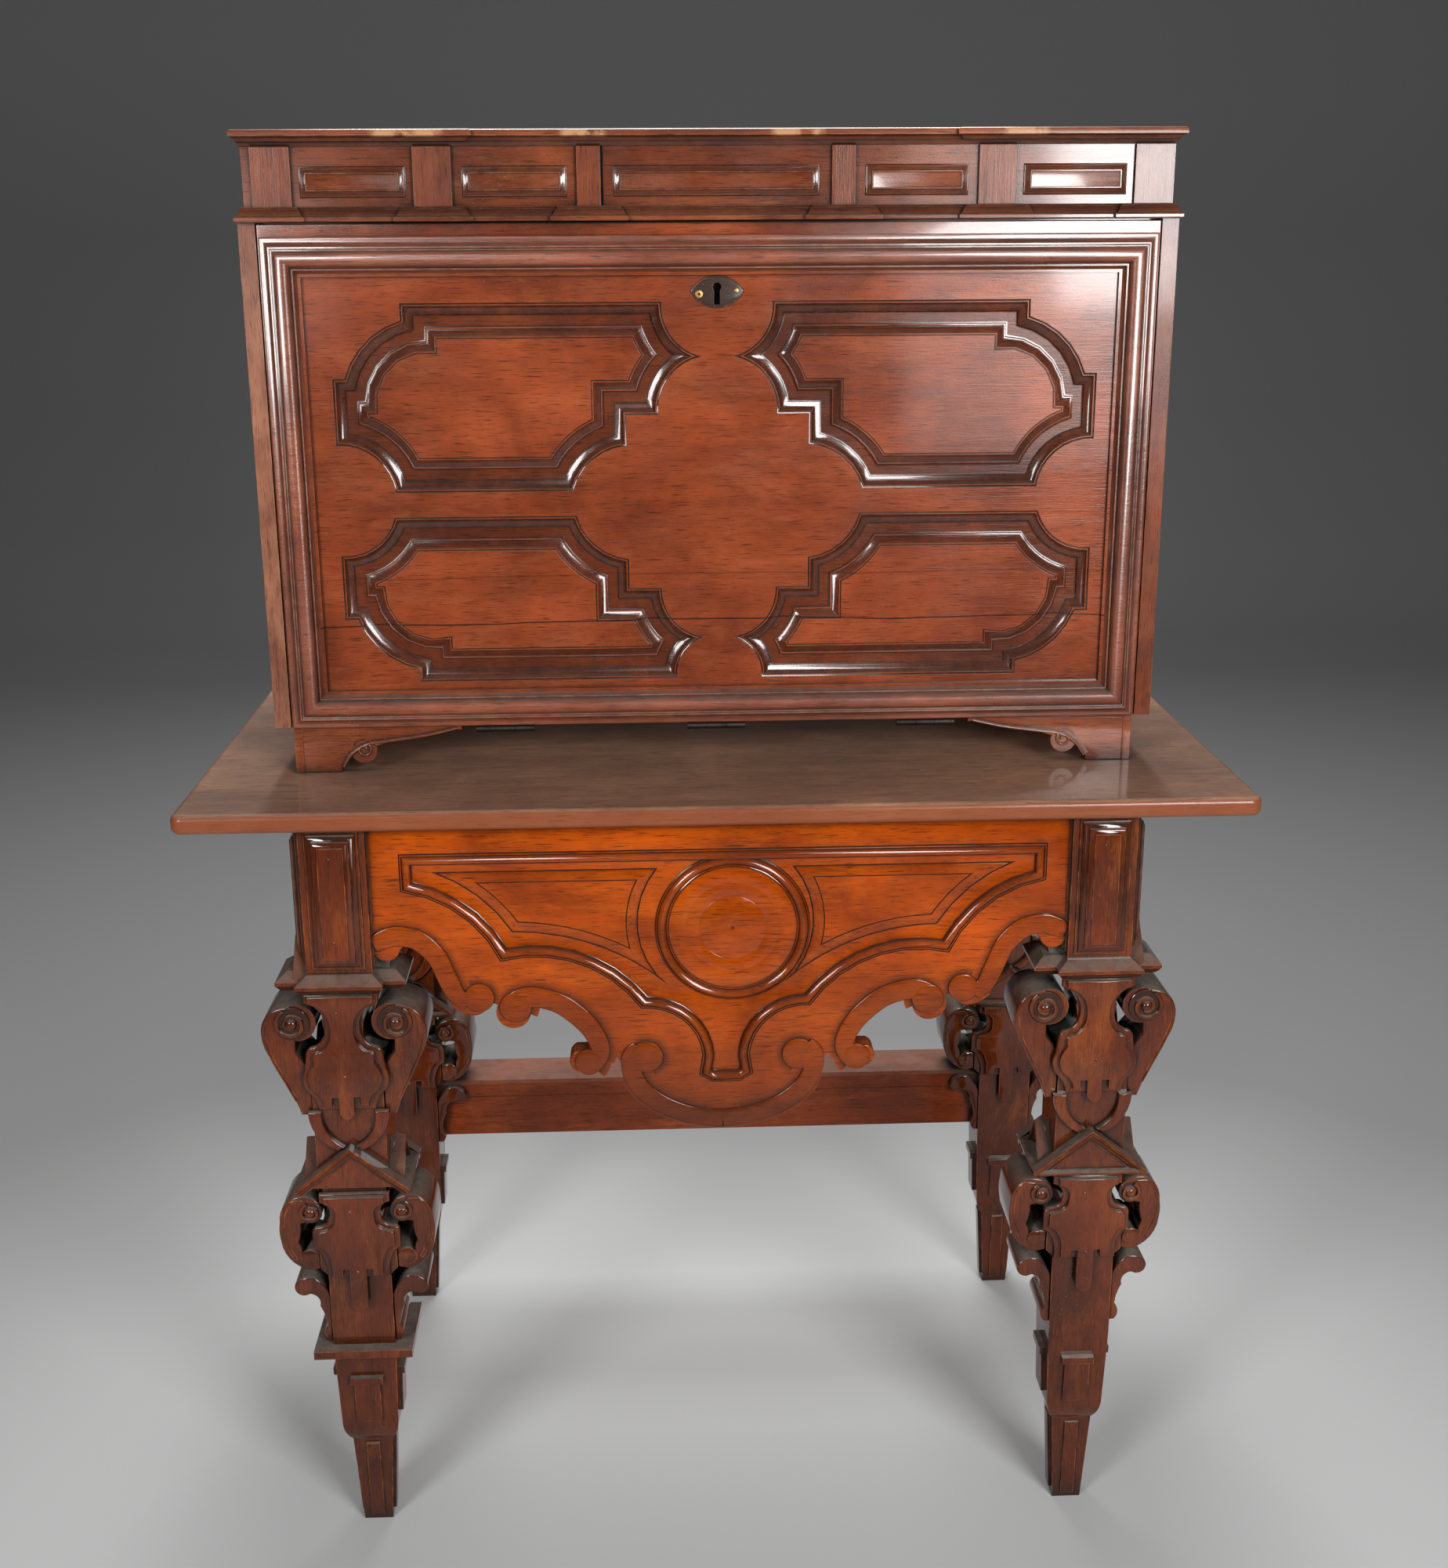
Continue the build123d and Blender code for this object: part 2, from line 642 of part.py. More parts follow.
def make_fall():
    panel = block((-fall_half, fall_half), (case_front, fall_back), (z_case, z_fall_top))
    ring_half = fall_half - strip_side
    ring_top = z_fall_top - strip_top
    field = block((-ring_half + moulding_width, ring_half - moulding_width), (case_front, field_face),
                  (z_case + moulding_width, ring_top - moulding_width))
    panel = panel - field
    wider, taller = fall_half - fall_drawn_half, z_fall_top - z_case - fall_drawn_height
    upper = lengthened(cartouche_upper, cartouche_split, upper_cartouche_split, wider, taller / 2, taller)
    lower = lengthened(cartouche_lower, cartouche_split, lower_cartouche_split, wider, 0, taller / 2)
    for drawn in (upper, lower):
        for side in (drawn, flipped(drawn)):
            points = [(fall_centre + x, z_case + z, b) for x, z, b in side]
            ledge = field_face + band_depth / 2
            panel = panel - (plate(points, field_face, ledge)
                             - plate(inset(points, band_width), field_face, ledge))
            panel = panel - (plate(inset(points, band_shoulder), field_face, field_face + band_depth)
                             - plate(inset(points, band_width - band_shoulder), field_face,
                                     field_face + band_depth))
    key_z = z_case_top - escutcheon_below_top
    through = Pos(fall_centre, (case_front + fall_back) / 2, key_z + 5) * Rot(90, 0, 0)
    panel = panel - through * Cylinder(keyhole_radius, fall_thickness * 2)
    panel = panel - block((fall_centre - 2, fall_centre + 2), (case_front, fall_back),
                          (key_z - 12, key_z + 5))
    keep("fall_panel", panel)

    torus = rectangle_ring(ring_half, z_case, ring_top, moulding_torus,
                           case_front - moulding_proud, case_front)
    front_edges = torus.faces().sort_by(Axis.Y)[0].edges()
    torus = fillet(front_edges, moulding_torus / 2 - 1.2)
    step = rectangle_ring(ring_half - moulding_torus, z_case + moulding_torus,
                          ring_top - moulding_torus, moulding_width - moulding_torus,
                          case_front - moulding_inner_proud, case_front)
    inner_edges = step.faces().sort_by(Axis.Y)[0].inner_wires()[0].edges()
    step = chamfer(inner_edges, moulding_inner_proud - 1)
    keep("fall_moulding", torus + step)


def make_lock():
    key_z = z_case_top - escutcheon_below_top
    half = escutcheon_length / 2
    tall = escutcheon_height / 2
    oval = [(-half, 0, 0.28), (0, tall, 0.28), (half, 0, 0.28), (0, -tall, 0.28)]
    shape = [(fall_centre + x, key_z + z, b) for x, z, b in oval]
    iron = plate(shape, field_face - escutcheon_thickness, field_face)
    through = Pos(fall_centre, field_face, key_z + 5) * Rot(90, 0, 0)
    iron = iron - through * Cylinder(keyhole_radius, 20)
    iron = iron - block((fall_centre - 2, fall_centre + 2), (field_face - 10, field_face + 10),
                        (key_z - 12, key_z + 5))
    keep("escutcheon", iron)

    nails = []
    for side in (-1, 1):
        spot = Pos(fall_centre + side * (half - 8), field_face - escutcheon_thickness, key_z)
        head = spot * Sphere(nail_radius) & spot * block((-5, 5), (-5, 0), (-5, 5))
        nails.append(head)
    keep("escutcheon_nails", *nails)

    lock_top = z_fall_top - lock_below_top
    bolt_y = fall_back + lock_depth / 2
    body = block((fall_centre - lock_width / 2, fall_centre + lock_width / 2),
                 (fall_back, fall_back + lock_depth), (lock_top - lock_height, lock_top))
    guide = block((fall_centre - bolt_width / 2 - bolt_clearance,
                   fall_centre + bolt_width / 2 + bolt_clearance),
                  (bolt_y - bolt_thickness / 2 - bolt_clearance,
                   bolt_y + bolt_thickness / 2 + bolt_clearance),
                  (lock_top - bolt_length, lock_top))
    keep("lock_case", body - guide)
    bolt = block((fall_centre - bolt_width / 2, fall_centre + bolt_width / 2),
                 (bolt_y - bolt_thickness / 2, bolt_y + bolt_thickness / 2),
                 (lock_top - bolt_length, lock_top))
    keep("lock_bolt", chamfer(bolt.edges().group_by(Axis.Z)[-1], 1))


# ------------------------------------------------------------------ hinges
def knuckles(x, y, z, sections):
    """Barrel sections along X; each is its low and high end, bored for the pin."""
    barrels = []
    for low, high in sections:
        barrel = rod(x + (low + high) / 2, y, z, knuckle_radius, high - low)
        barrels.append(barrel - rod(x, y, z, pin_radius + pin_clearance, 3 * knuckle_length))
    return barrels


def make_hinges():
    span = knuckle_length / 2
    middle = ((-span + knuckle_gap, span - knuckle_gap),)
    outer = ((-span - knuckle_length, -span), (span, span + knuckle_length))
    case_leaves, fall_leaves, pins = [], [], []
    y, z = case_front, fall_axis_z
    for x in fall_hinge_places:
        bore = rod(x, y, z, pin_radius + pin_clearance, 3 * knuckle_length)
        for low, high in middle:
            strap = block((x + low, x + high), (y, y + 3 * leaf_length),
                          (z + knuckle_radius - leaf_thickness, z + knuckle_radius))
            pad = block((x + low, x + high), (board_front, y + 3 * leaf_length),
                        (z + knuckle_radius - leaf_thickness, z_case))
            case_leaves.append(strap + pad + knuckles(x, y, z, middle)[0] - bore)
        for place, barrel in zip(outer, knuckles(x, y, z, outer)):
            leaf = block((x + place[0], x + place[1]), (y, fall_back - 1),
                         (z + knuckle_radius - leaf_thickness, z_case))
            fall_leaves.append(leaf + barrel - bore)
        pins.append(rod(x, y, z, pin_radius, 3 * knuckle_length))
    keep("fall_hinge_case_leaves", *case_leaves)
    keep("fall_hinge_fall_leaves", *fall_leaves)
    keep("fall_hinge_pins", *pins)

    case_leaves, lid_leaves, pins = [], [], []
    y, z = lid_axis_y, lid_axis_z
    for x in lid_hinge_places:
        bore = rod(x, y, z, pin_radius + pin_clearance, 3 * knuckle_length)
        leaf = block((x - span + knuckle_gap, x + span - knuckle_gap),
                     (case_back, case_back + leaf_thickness), (z - leaf_length, z))
        case_leaves.append(leaf + knuckles(x, y, z, middle)[0] - bore)
        for place, barrel in zip(outer, knuckles(x, y, z, outer)):
            leaf = block((x + place[0], x + place[1]), (case_back, case_back + leaf_thickness),
                         (z, z + leaf_length))
            lid_leaves.append(leaf + barrel - bore)
        pins.append(rod(x, y, z, pin_radius, 3 * knuckle_length))
    keep("lid_hinge_case_leaves", *case_leaves)
    keep("lid_hinge_lid_leaves", *lid_leaves)
    keep("lid_hinge_pins", *pins)


# ------------------------------------------------------------------ lid
def break_place(side, near, far, reach):
    """The middle of a block that breaks forward over a pilaster, flush with the end at the corners."""
    if far == pilaster_end:
        return side * (lid_half + reach - break_half)
    return fall_centre + side * (near + far) / 2


def make_lid():
    back_inner = case_back - lid_wall
    frieze = block((-lid_half, lid_half), (lid_front, lid_front + lid_wall), (z_lid, z_lid_top))
    crack = fall_centre - centre_bay / 2
    shrinkage = block((crack, crack + shrinkage_gap), (lid_front, lid_front + shrinkage_depth),
                      (z_lid + base_mould_height, z_lid_top - cornice_bed))
    keep("lid_frieze", frieze - shrinkage)
    ends = []
    for side in (-1, 1):
        near, far = sorted((side * (lid_half - lid_wall), side * lid_half))
        ends.append(block((near, far), (lid_front + lid_wall, case_back), (z_lid, z_lid_top)))
    ends.append(block((-lid_half + lid_wall, lid_half - lid_wall), (back_inner, case_back),
                      (z_lid, z_lid_top)))
    keep("lid_walls", *ends)

    reach = lid_board_reach
    board = block((-lid_half - reach, lid_half + reach), (lid_front - reach, case_back),
                  (z_lid_top, z_lid_top + lid_board))
    lower_rim = board.edges().group_by(Axis.Z)[0].sort_by(Axis.Y)[:-1]
    board = chamfer(lower_rim, lid_board_lip)
    upper_rim = board.edges().group_by(Axis.Z)[-1].sort_by(Axis.Y)[:-1]
    keep("lid_top", fillet(upper_rim, lid_board / 3))

    def surround(low, high, out):
        ring = block((-lid_half - out, lid_half + out), (lid_front - out, case_back), (low, high))
        core = block((-lid_half, lid_half), (lid_front, case_back), (low, high))
        return ring - core

    bed = surround(z_lid_top - cornice_bed, z_lid_top, cornice_bed_reach)
    lower_rim = bed.edges().group_by(Axis.Z)[0].filter_by(Axis.X).sort_by(Axis.Y)[0:1]
    bed = chamfer(lower_rim, cornice_bed_reach - 1)
    keep("lid_cornice", bed)

    base = surround(z_lid, z_lid + base_mould_height, base_mould_reach)
    upper_rim = base.edges().group_by(Axis.Z)[-1].filter_by(Axis.X).sort_by(Axis.Y)[0:1]
    base = chamfer(upper_rim, base_mould_reach - 1)
    blocks = []
    for near, far in pilaster_spans:
        for side in (-1, 1):
            x = break_place(side, near, far, base_mould_reach)
            front = lid_front - base_mould_reach
            lump = block((x - break_half, x + break_half), (front - break_reach, front),
                         (z_lid, z_lid + base_mould_height * 0.7))
            blocks.append(chamfer(lump.edges().filter_by(Axis.X).sort_by(Axis.Y)[0:1], 3))
    base_with_blocks = base
    for lump in blocks:
        base_with_blocks = base_with_blocks + lump
    keep("lid_base_moulding", base_with_blocks)

    crowns = []
    for side in (-1, 1):
        near = fall_centre + side * (middle_pilaster_near - crown_lead)
        across = sorted((near, side * (lid_half + reach)))
        front = lid_front - reach
        crowns.append(block(across, (front - break_reach, front),
                            (z_lid_top + lid_board_lip, z_lid_top + lid_board - 1)))
    keep("lid_break_blocks", *crowns)

    strips, fields = [], []
    low = z_lid + base_mould_height
    high = z_lid_top - cornice_bed
    for near, far in pilaster_spans:
        for side in (-1, 1):
            x = sorted((fall_centre + side * near, fall_centre + side * far))
            strips.append(block(x, (lid_front - pilaster_proud, lid_front), (low, high)))
    keep("lid_pilasters", *strips)
    spans = [(fall_centre + a, fall_centre + b) for a, b in panel_spans]
    spans += [(fall_centre - b, fall_centre - a) for a, b in panel_spans[:2]]
    for x in spans:
        lump = block(x, (lid_front - panel_proud, lid_front),
                     (low + panel_foot_margin, high - panel_head_margin))
        rim = lump.faces().sort_by(Axis.Y)[0].edges()
        fields.append(chamfer(rim, panel_proud - 1))
    keep("lid_panels", *fields)


# ------------------------------------------------------------------ nest of drawers
def make_nest():
    half = case_inner_half - nest_gap
    front = board_front + nest_setback
    back = case_back - case_back_thickness - nest_gap
    low = z_case + case_bottom_thickness
    high = z_case_top - case_top_thickness - nest_gap
    boards = block((-half, half), (front, back), (low, high))
    side_inner = half - nest_board - nest_side_column
    row = (high - low - 4 * nest_board) / 3
    knobs = []

    def drawer(name, x, z):
        body = block((x[0] + drawer_gap, x[1] - drawer_gap), (front, back - nest_board - 4),
                     (z[0], z[1] - drawer_gap))
        inside = block((x[0] + drawer_gap + drawer_wall, x[1] - drawer_gap - drawer_wall),
                       (front + drawer_front, back - nest_board - 4 - drawer_wall),
                       (z[0] + drawer_base, z[1]))
        keep(name, body - inside)
        add_knob((x[0] + x[1]) / 2, (z[0] + z[1]) / 2)

    def add_knob(x, z):
        profile = outline([(0, 16, 0), (knob_radius * 0.5, 15, 0.5), (knob_radius, 9, 0.1),
                           (knob_radius * 0.4, 5, 0), (knob_radius * 0.5, 0, 0), (0, 0, 0)])
        turned = revolve(Plane.XZ * profile, Axis.Z)
        knobs.append(Pos(x, front, z) * Rot(90, 0, 0) * turned)

    for column, side in (("left", -1), ("right", 1)):
        x = sorted((side * side_inner, side * (half - nest_board)))
        for place, level in enumerate(("bottom", "middle", "top")):
            floor = low + nest_board + place * (row + nest_board)
            boards = boards - block(x, (front, back - nest_board), (floor, floor + row))
            drawer("drawer_" + column + "_" + level, x, (floor, floor + row))
    x = (-side_inner + nest_board, side_inner - nest_board)
    floor = low + nest_board
    drawer_high = high - nest_board - cupboard_height - nest_board
    boards = boards - block(x, (front, back - nest_board), (floor, drawer_high))
    drawer("drawer_centre", x, (floor, drawer_high))
    floor = drawer_high + nest_board
    boards = boards - block(x, (front, back - nest_board), (floor, floor + cupboard_height))
    keep("nest_boards", boards)
    door = block((x[0] + drawer_gap, x[1] - drawer_gap), (front, front + drawer_front),
                 (floor, floor + cupboard_height - drawer_gap))
    raised = block((x[0] + 40, x[1] - 40), (front - 5, front), (floor + 40, floor + cupboard_height - 40))
    rim = raised.faces().sort_by(Axis.Y)[0].edges()
    keep("cupboard_door", door + chamfer(rim, 4))
    add_knob(x[1] - 20, floor + cupboard_height / 2)
    keep("drawer_knobs", *knobs)


make_table_top()
make_aprons()
for name, x, y, foot_kept, mid_kept in (
        ("leg_front_left", -leg_x, -leg_y, True, False),
        ("leg_front_right", leg_x, -leg_y, False, True),
        ("leg_rear_left", -leg_x, leg_y, False, True),
        ("leg_rear_right", leg_x, leg_y, False, True)):
    make_leg(name, x, y, foot_kept, mid_kept)
make_stretcher()
make_chest()
make_fall()
make_lock()
make_hinges()
make_lid()
make_nest()

os.makedirs("parts", exist_ok=True)
for name, shape in parts.items():
    export_step(shape, "parts/" + name + ".step")
print(len(parts), "sub-parts written")
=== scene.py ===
# %% [markdown]
# # A fall-front writing chest on a carved stand
#
# The object is two things stacked. Above is a board chest whose front falls forward on
# hinges, closed by a box lid with a small framed frieze. Below is a table with a shaped
# apron and four legs built up in tiers of scrolls, shields and little pediments.
# The construction model already holds every board, hinge and drawer in its right place.
# Here the carved pieces are drawn again in fine detail, and every surface gets its finish.

# %% load the construction model
import bmesh
import bpy
from math import atan, atan2, cos, degrees, hypot, pi, radians, sin, tan
from mathutils import Matrix, Vector
from mathutils.geometry import tessellate_polygon


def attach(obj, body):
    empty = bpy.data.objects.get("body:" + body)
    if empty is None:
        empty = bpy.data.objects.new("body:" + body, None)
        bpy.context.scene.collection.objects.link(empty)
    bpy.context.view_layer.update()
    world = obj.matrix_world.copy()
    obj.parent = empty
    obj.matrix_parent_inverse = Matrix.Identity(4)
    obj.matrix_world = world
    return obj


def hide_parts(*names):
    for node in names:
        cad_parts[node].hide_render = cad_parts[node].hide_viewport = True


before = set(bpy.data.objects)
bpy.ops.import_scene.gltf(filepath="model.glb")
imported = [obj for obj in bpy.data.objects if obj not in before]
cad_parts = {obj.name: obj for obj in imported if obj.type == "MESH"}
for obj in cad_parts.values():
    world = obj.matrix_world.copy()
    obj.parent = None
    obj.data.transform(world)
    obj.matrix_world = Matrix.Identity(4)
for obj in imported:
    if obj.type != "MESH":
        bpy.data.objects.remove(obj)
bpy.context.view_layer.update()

# %% [markdown]
# ## Levels and planes
#
# All drawing is done in millimetres, as at the bench, and turned into metres when a mesh is
# made. Writing each level once keeps the drawn pieces seated on the boards that carry them.

# %% levels in millimetres
TABLE_UNDER, TABLE_TOP = 890, 912
MID_PLATE, UPPER_TIER = 455, 463
CAPITAL, POST = 700, 712
LEG_X, LEG_Y, POST_HALF = 422, 248, 36
CASE_FRONT, CASE_BACK, CASE_LOW = -146, 294, 966
FIELD = CASE_FRONT + 4
LID_FRONT, LID_LOW, LID_HALF = -144, 1514.5, 492
APRON_FRONT, APRON_BACK = -276, -250
FALL_MIDDLE = 4

# %% [markdown]
# ## Drawing outlines with straight and curved edges
#
# Furniture outlines are straight lines and arcs. Each corner is written as (x, z, bulge):
# the bulge bends the edge that leaves the corner, positive swelling out and negative
# biting in. All outlines run clockwise. A curve object could hold the same drawing, but
# not its mitres, and the first need is to draw an outline again at a distance inside
# itself with true mitres. That is how a moulding plane follows a shaped panel, and it
# lets one profile be run round any outline.


# %% arcs and mitred insets
def arc_centre(start, end, bulge):
    chord = hypot(end[0] - start[0], end[1] - start[1])
    half_angle = 2 * atan(bulge)
    back = chord / 2 / tan(half_angle)
    left = ((start[1] - end[1]) / chord, (end[0] - start[0]) / chord)
    centre = ((start[0] + end[0]) / 2 - left[0] * back, (start[1] + end[1]) / 2 - left[1] * back)
    return centre, abs(chord / 2 / sin(half_angle))


def moved_edge(start, end, bulge, distance):
    if bulge:
        centre, radius = arc_centre(start, end, bulge)
        return ("circle", centre, radius - distance if bulge > 0 else radius + distance)
    length = hypot(end[0] - start[0], end[1] - start[1])
    along = ((end[0] - start[0]) / length, (end[1] - start[1]) / length)
    return ("line", (start[0] + along[1] * distance, start[1] - along[0] * distance), along)


def meeting(first, second, near):
    if first[0] == "line" and second[0] == "line":
        (px, py), (ux, uy) = first[1:]
        (qx, qy), (vx, vy) = second[1:]
        turn = ux * vy - uy * vx
        if abs(turn) < 1e-9:
            return qx, qy
        along = ((qx - px) * vy - (qy - py) * vx) / turn
        return px + along * ux, py + along * uy
    if first[0] == "circle" and second[0] == "circle":
        (cx, cy), r = first[1:]
        (dx, dy), s = second[1:]
        span = hypot(dx - cx, dy - cy)
        if span < 1e-6:
            return near
        reach = (span * span + r * r - s * s) / (2 * span)
        rise = max(r * r - reach * reach, 0) ** 0.5
        ux, uy = (dx - cx) / span, (dy - cy) / span
        foot = (cx + reach * ux, cy + reach * uy)
    else:
        line, circle = (first, second) if first[0] == "line" else (second, first)
        (px, py), (vx, vy) = line[1:]
        (cx, cy), r = circle[1:]
        along = (cx - px) * vx + (cy - py) * vy
        foot = (px + along * vx, py + along * vy)
        rise = max(r * r - (foot[0] - cx) ** 2 - (foot[1] - cy) ** 2, 0) ** 0.5
        ux, uy = -vy, vx
    choices = [(foot[0] - rise * uy, foot[1] + rise * ux), (foot[0] + rise * uy, foot[1] - rise * ux)]
    return min(choices, key=lambda c: hypot(c[0] - near[0], c[1] - near[1]))


def inset(points, distance):
    if not distance:
        return list(points)
    ends = points[1:] + points[:1]
    edges = [moved_edge(a[:2], b[:2], a[2], distance) for a, b in zip(points, ends)]
    corners = [meeting(before, edge, p[:2])
               for before, edge, p in zip(edges[-1:] + edges[:-1], edges, points)]
    result = []
    for corner, following, edge in zip(corners, corners[1:] + corners[:1], edges):
        bulge = 0
        if edge[0] == "circle":
            cx, cy = edge[1]
            sweep = atan2(following[1] - cy, following[0] - cx) - atan2(corner[1] - cy, corner[0] - cx)
            bulge = -tan(((sweep + pi) % (2 * pi) - pi) / 4)
        result.append((corner[0], corner[1], bulge))
    return result


def rectangle(x0, x1, z0, z1):
    return [(x0, z1, 0), (x1, z1, 0), (x1, z0, 0), (x0, z0, 0)]


print("inset of a 100 mm square by 10:", inset(rectangle(0, 100, 0, 100), 10)[0])

# %% [markdown]
# ## From outline to a line of points
#
# A mesh knows no arcs, so each one is divided. The number of steps is settled once for an
# outline and used again for every inset of it, and then neighbouring lines have the same
# number of points and can be joined point to point. Most shapes here have a left and a
# right half, or hang down from a known level, so there is a helper for each.


# %% tracing, mirroring and hanging outlines
STEP_ANGLE, STEP_LENGTH = radians(11), 25


def trace(points, steps):
    line = []
    for (x0, y0, bulge), (x1, y1, _), count in zip(points, points[1:] + points[:1], steps):
        line.append((x0, y0))
        if count > 1:
            if abs(bulge) < 1e-4:
                line += [(x0 + (x1 - x0) * k / count, y0 + (y1 - y0) * k / count) for k in range(1, count)]
                continue
            (cx, cy), radius = arc_centre((x0, y0), (x1, y1), bulge)
            first, sweep = atan2(y0 - cy, x0 - cx), -4 * atan(bulge)
            angles = [first + sweep * k / count for k in range(1, count)]
            line += [(cx + radius * cos(a), cy + radius * sin(a)) for a in angles]
    return line


def arc_steps(points):
    steps = []
    for (x0, y0, bulge), (x1, y1, _) in zip(points, points[1:] + points[:1]):
        turns = round(abs(4 * atan(bulge)) / STEP_ANGLE)
        lengths = round(hypot(x1 - x0, y1 - y0) / STEP_LENGTH)
        steps.append(max(3, turns, lengths) if bulge else 1)
    return steps


def traced(points):
    return trace(points, arc_steps(points))


def both_sides(half):
    bulges = [bulge for _, _, bulge in half[:-1]]
    right = list(half[:-1]) + [(half[-1][0], half[-1][1], 0)]
    left = [(-x, y, bulge) for (x, y, _), bulge in zip(reversed(half), bulges[::-1] + [0])]
    full = right + left
    return [p for p, following in zip(full, full[1:] + full[:1]) if p[:2] != following[:2]]


def flipped(points):
    turned = [(-x, y) for x, y, _ in reversed(points)]
    bulges = [b for _, _, b in reversed(points)]
    bulges = bulges[1:] + bulges[:1]
    return [(x, y, b) for (x, y), b in zip(turned, bulges)]


def hung(points, top):
    return [(x, top - down, bulge) for x, down, bulge in points]


def shifted(points, across):
    return [(x + across, z, bulge) for x, z, bulge in points]


print("a half circle 100 mm across has", len(traced([(0, 0, 1), (100, 0, 0)])), "points")

# %% [markdown]
# ## Turning drawings into surfaces
#
# A carved board is a flat face, a rounded or moulded edge and a back. Blender's curve
# bevels would round the edges but not run a moulding with crisp mitres, so the surfaces
# are laid by hand: rings of points one inside the next, joined by strips, and flat faces
# cut into triangles around their holes. A `Shape` just collects points and faces until
# the whole piece is made into one mesh. Every point also carries a patina and painted
# shade value from 0 to 1. It darkens the colour in the grooves of a moulding, under its
# rounds and in its creases: partly the wax and soot that gather there, partly painted
# shade. The profile of a moulding is the place to say how dark each of its members is.


# %% a shape that collects points and faces
def stood_up(u, v, w):
    """A drawing that faces the viewer; w is its place from front to back."""
    return u, w, v


def laid_flat(u, v, w):
    """A drawing seen from above; w is its height."""
    return u, v, w


class Shape:
    def __init__(self):
        self.points = []
        self.faces = []
        self.patina = []

    def add(self, points, faces, patina=None):
        start = len(self.points)
        self.points += points
        self.faces += [tuple(start + i for i in face) for face in faces]
        self.patina += patina or [0.0] * len(points)

    def rings(self, rings, closed=True, patina=None):
        count = len(rings[0])
        faces, shade = [], []
        for here in patina or [0.0] * len(rings):
            shade += list(here) if isinstance(here, (list, tuple)) else [here] * count
        for near in range(0, count * (len(rings) - 1), count):
            far = near + count
            for i in range(count if closed else count - 1):
                j = (i + 1) % count
                faces.append((near + i, near + j, far + j, far + i))
        self.add([p for ring in rings for p in ring], faces, shade)

    def flat(self, loops, w, plane=stood_up):
        lines = [[Vector((u, v, 0)) for u, v in loop] for loop in loops]
        points = [plane(u, v, w) for loop in loops for u, v in loop]
        self.add(points, [tuple(t) for t in tessellate_polygon(lines)])

    def merge(self, other, turn=0, move=(0, 0, 0), mirror=False):
        c, s = round(cos(radians(turn))), round(sin(radians(turn)))
        flip = -1 if mirror else 1
        points = [(flip * x * c - y * s + move[0], flip * x * s + y * c + move[1], z + move[2])
                  for x, y, z in other.points]
        self.add(points, other.faces, list(other.patina))


print("a shape knows how to", ", ".join(n for n in vars(Shape) if not n.startswith("_")))


# %% mouldings and rounded plates
def shades(profile):
    """The patina and painted shade of each row of a profile; a row without one is clean."""
    return [row[2] if len(row) > 2 else 0.0 for row in profile]


def run_moulding(shape, outline, profile, plane=stood_up, fill=None):
    steps = arc_steps(outline)
    rings = []
    for row in profile:
        rings.append([plane(u, v, row[1]) for u, v in trace(inset(outline, row[0]), steps)])
    shape.rings(rings, patina=shades(profile))
    if fill is not None:
        shape.flat([trace(inset(outline, profile[-1][0]), steps)], profile[-1][1], plane)


def round_edge(front, back, radius):
    turns = [k * pi / 8 for k in range(5)]
    return [(0, back)] + [(radius * (1 - cos(a)), front + radius * (1 - sin(a))) for a in turns]


def carved_plate(shape, outline, front, back, radius=1.5, holes=()):
    run_moulding(shape, outline, round_edge(front, back, radius))
    face = trace(inset(outline, radius), arc_steps(outline))
    pierced = [traced(hole) for hole in holes]
    shape.flat([face] + pierced, front)
    shape.flat([traced(outline)] + pierced, back)


def follow(path, profile, plane=stood_up):
    """Rings of an open run with mitred corners: the profile is (offset to the right, height)."""
    rings = []
    for off, w in [row[:2] for row in profile]:
        ring = []
        for i, (x, y) in enumerate(path):
            before = path[i - 1] if i else None
            after = path[i + 1] if i + 1 < len(path) else None
            normals = []
            for a, b in ((before, (x, y)), ((x, y), after)):
                if a and b:
                    length = hypot(b[0] - a[0], b[1] - a[1])
                    normals.append(((b[1] - a[1]) / length, (a[0] - b[0]) / length))
            nx = sum(n[0] for n in normals) / len(normals)
            ny = sum(n[1] for n in normals) / len(normals)
            size = nx * nx + ny * ny
            ring.append(plane(x + nx / size * off, y + ny / size * off, w))
        rings.append(ring)
    return rings


sample = Shape()
carved_plate(sample, rectangle(0, 100, 0, 100), 0, 20)
print("a square plate with a rounded edge has", len(sample.faces), "faces")

# %% [markdown]
# ## Carved bands and turned details
#
# Scroll bands, rolled ends and buttons are raised on a face. A band is a line of
# (x, z, width) with a rounded section carried along it, so it swells and tapers as a
# carver lets it. A button is a profile turned about its own middle. Both get a painted
# shadow beside them: a dark strip on the flat face where a gouge would leave a trough,
# which is not cut.

# %% carved bands and their hollows
SPAN_STEPS = 6
PAINTED_HOLLOW_SHADE = 0.85


def smooth_path(knots):
    """A flowing line through the given (x, z, width) knots."""
    path = []
    for i in range(len(knots) - 1):
        a, b = knots[max(i - 1, 0)], knots[i]
        c, d = knots[i + 1], knots[min(i + 2, len(knots) - 1)]
        for k in range(SPAN_STEPS):
            t = k / SPAN_STEPS
            path.append(tuple(0.5 * (2 * q + (r - p) * t + (2 * p - 5 * q + 4 * r - s) * t * t
                                     + (3 * q - p - 3 * r + s) * t ** 3)
                              for p, q, r, s in zip(a, b, c, d)))
    path.append(tuple(knots[-1]))
    return path


def sideways(path, i):
    """The direction square to the path at its point i."""
    ax, az, _ = path[max(i - 1, 0)]
    bx, bz, _ = path[min(i + 1, len(path) - 1)]
    length = hypot(bx - ax, bz - az) or 1
    return -(bz - az) / length, (bx - ax) / length


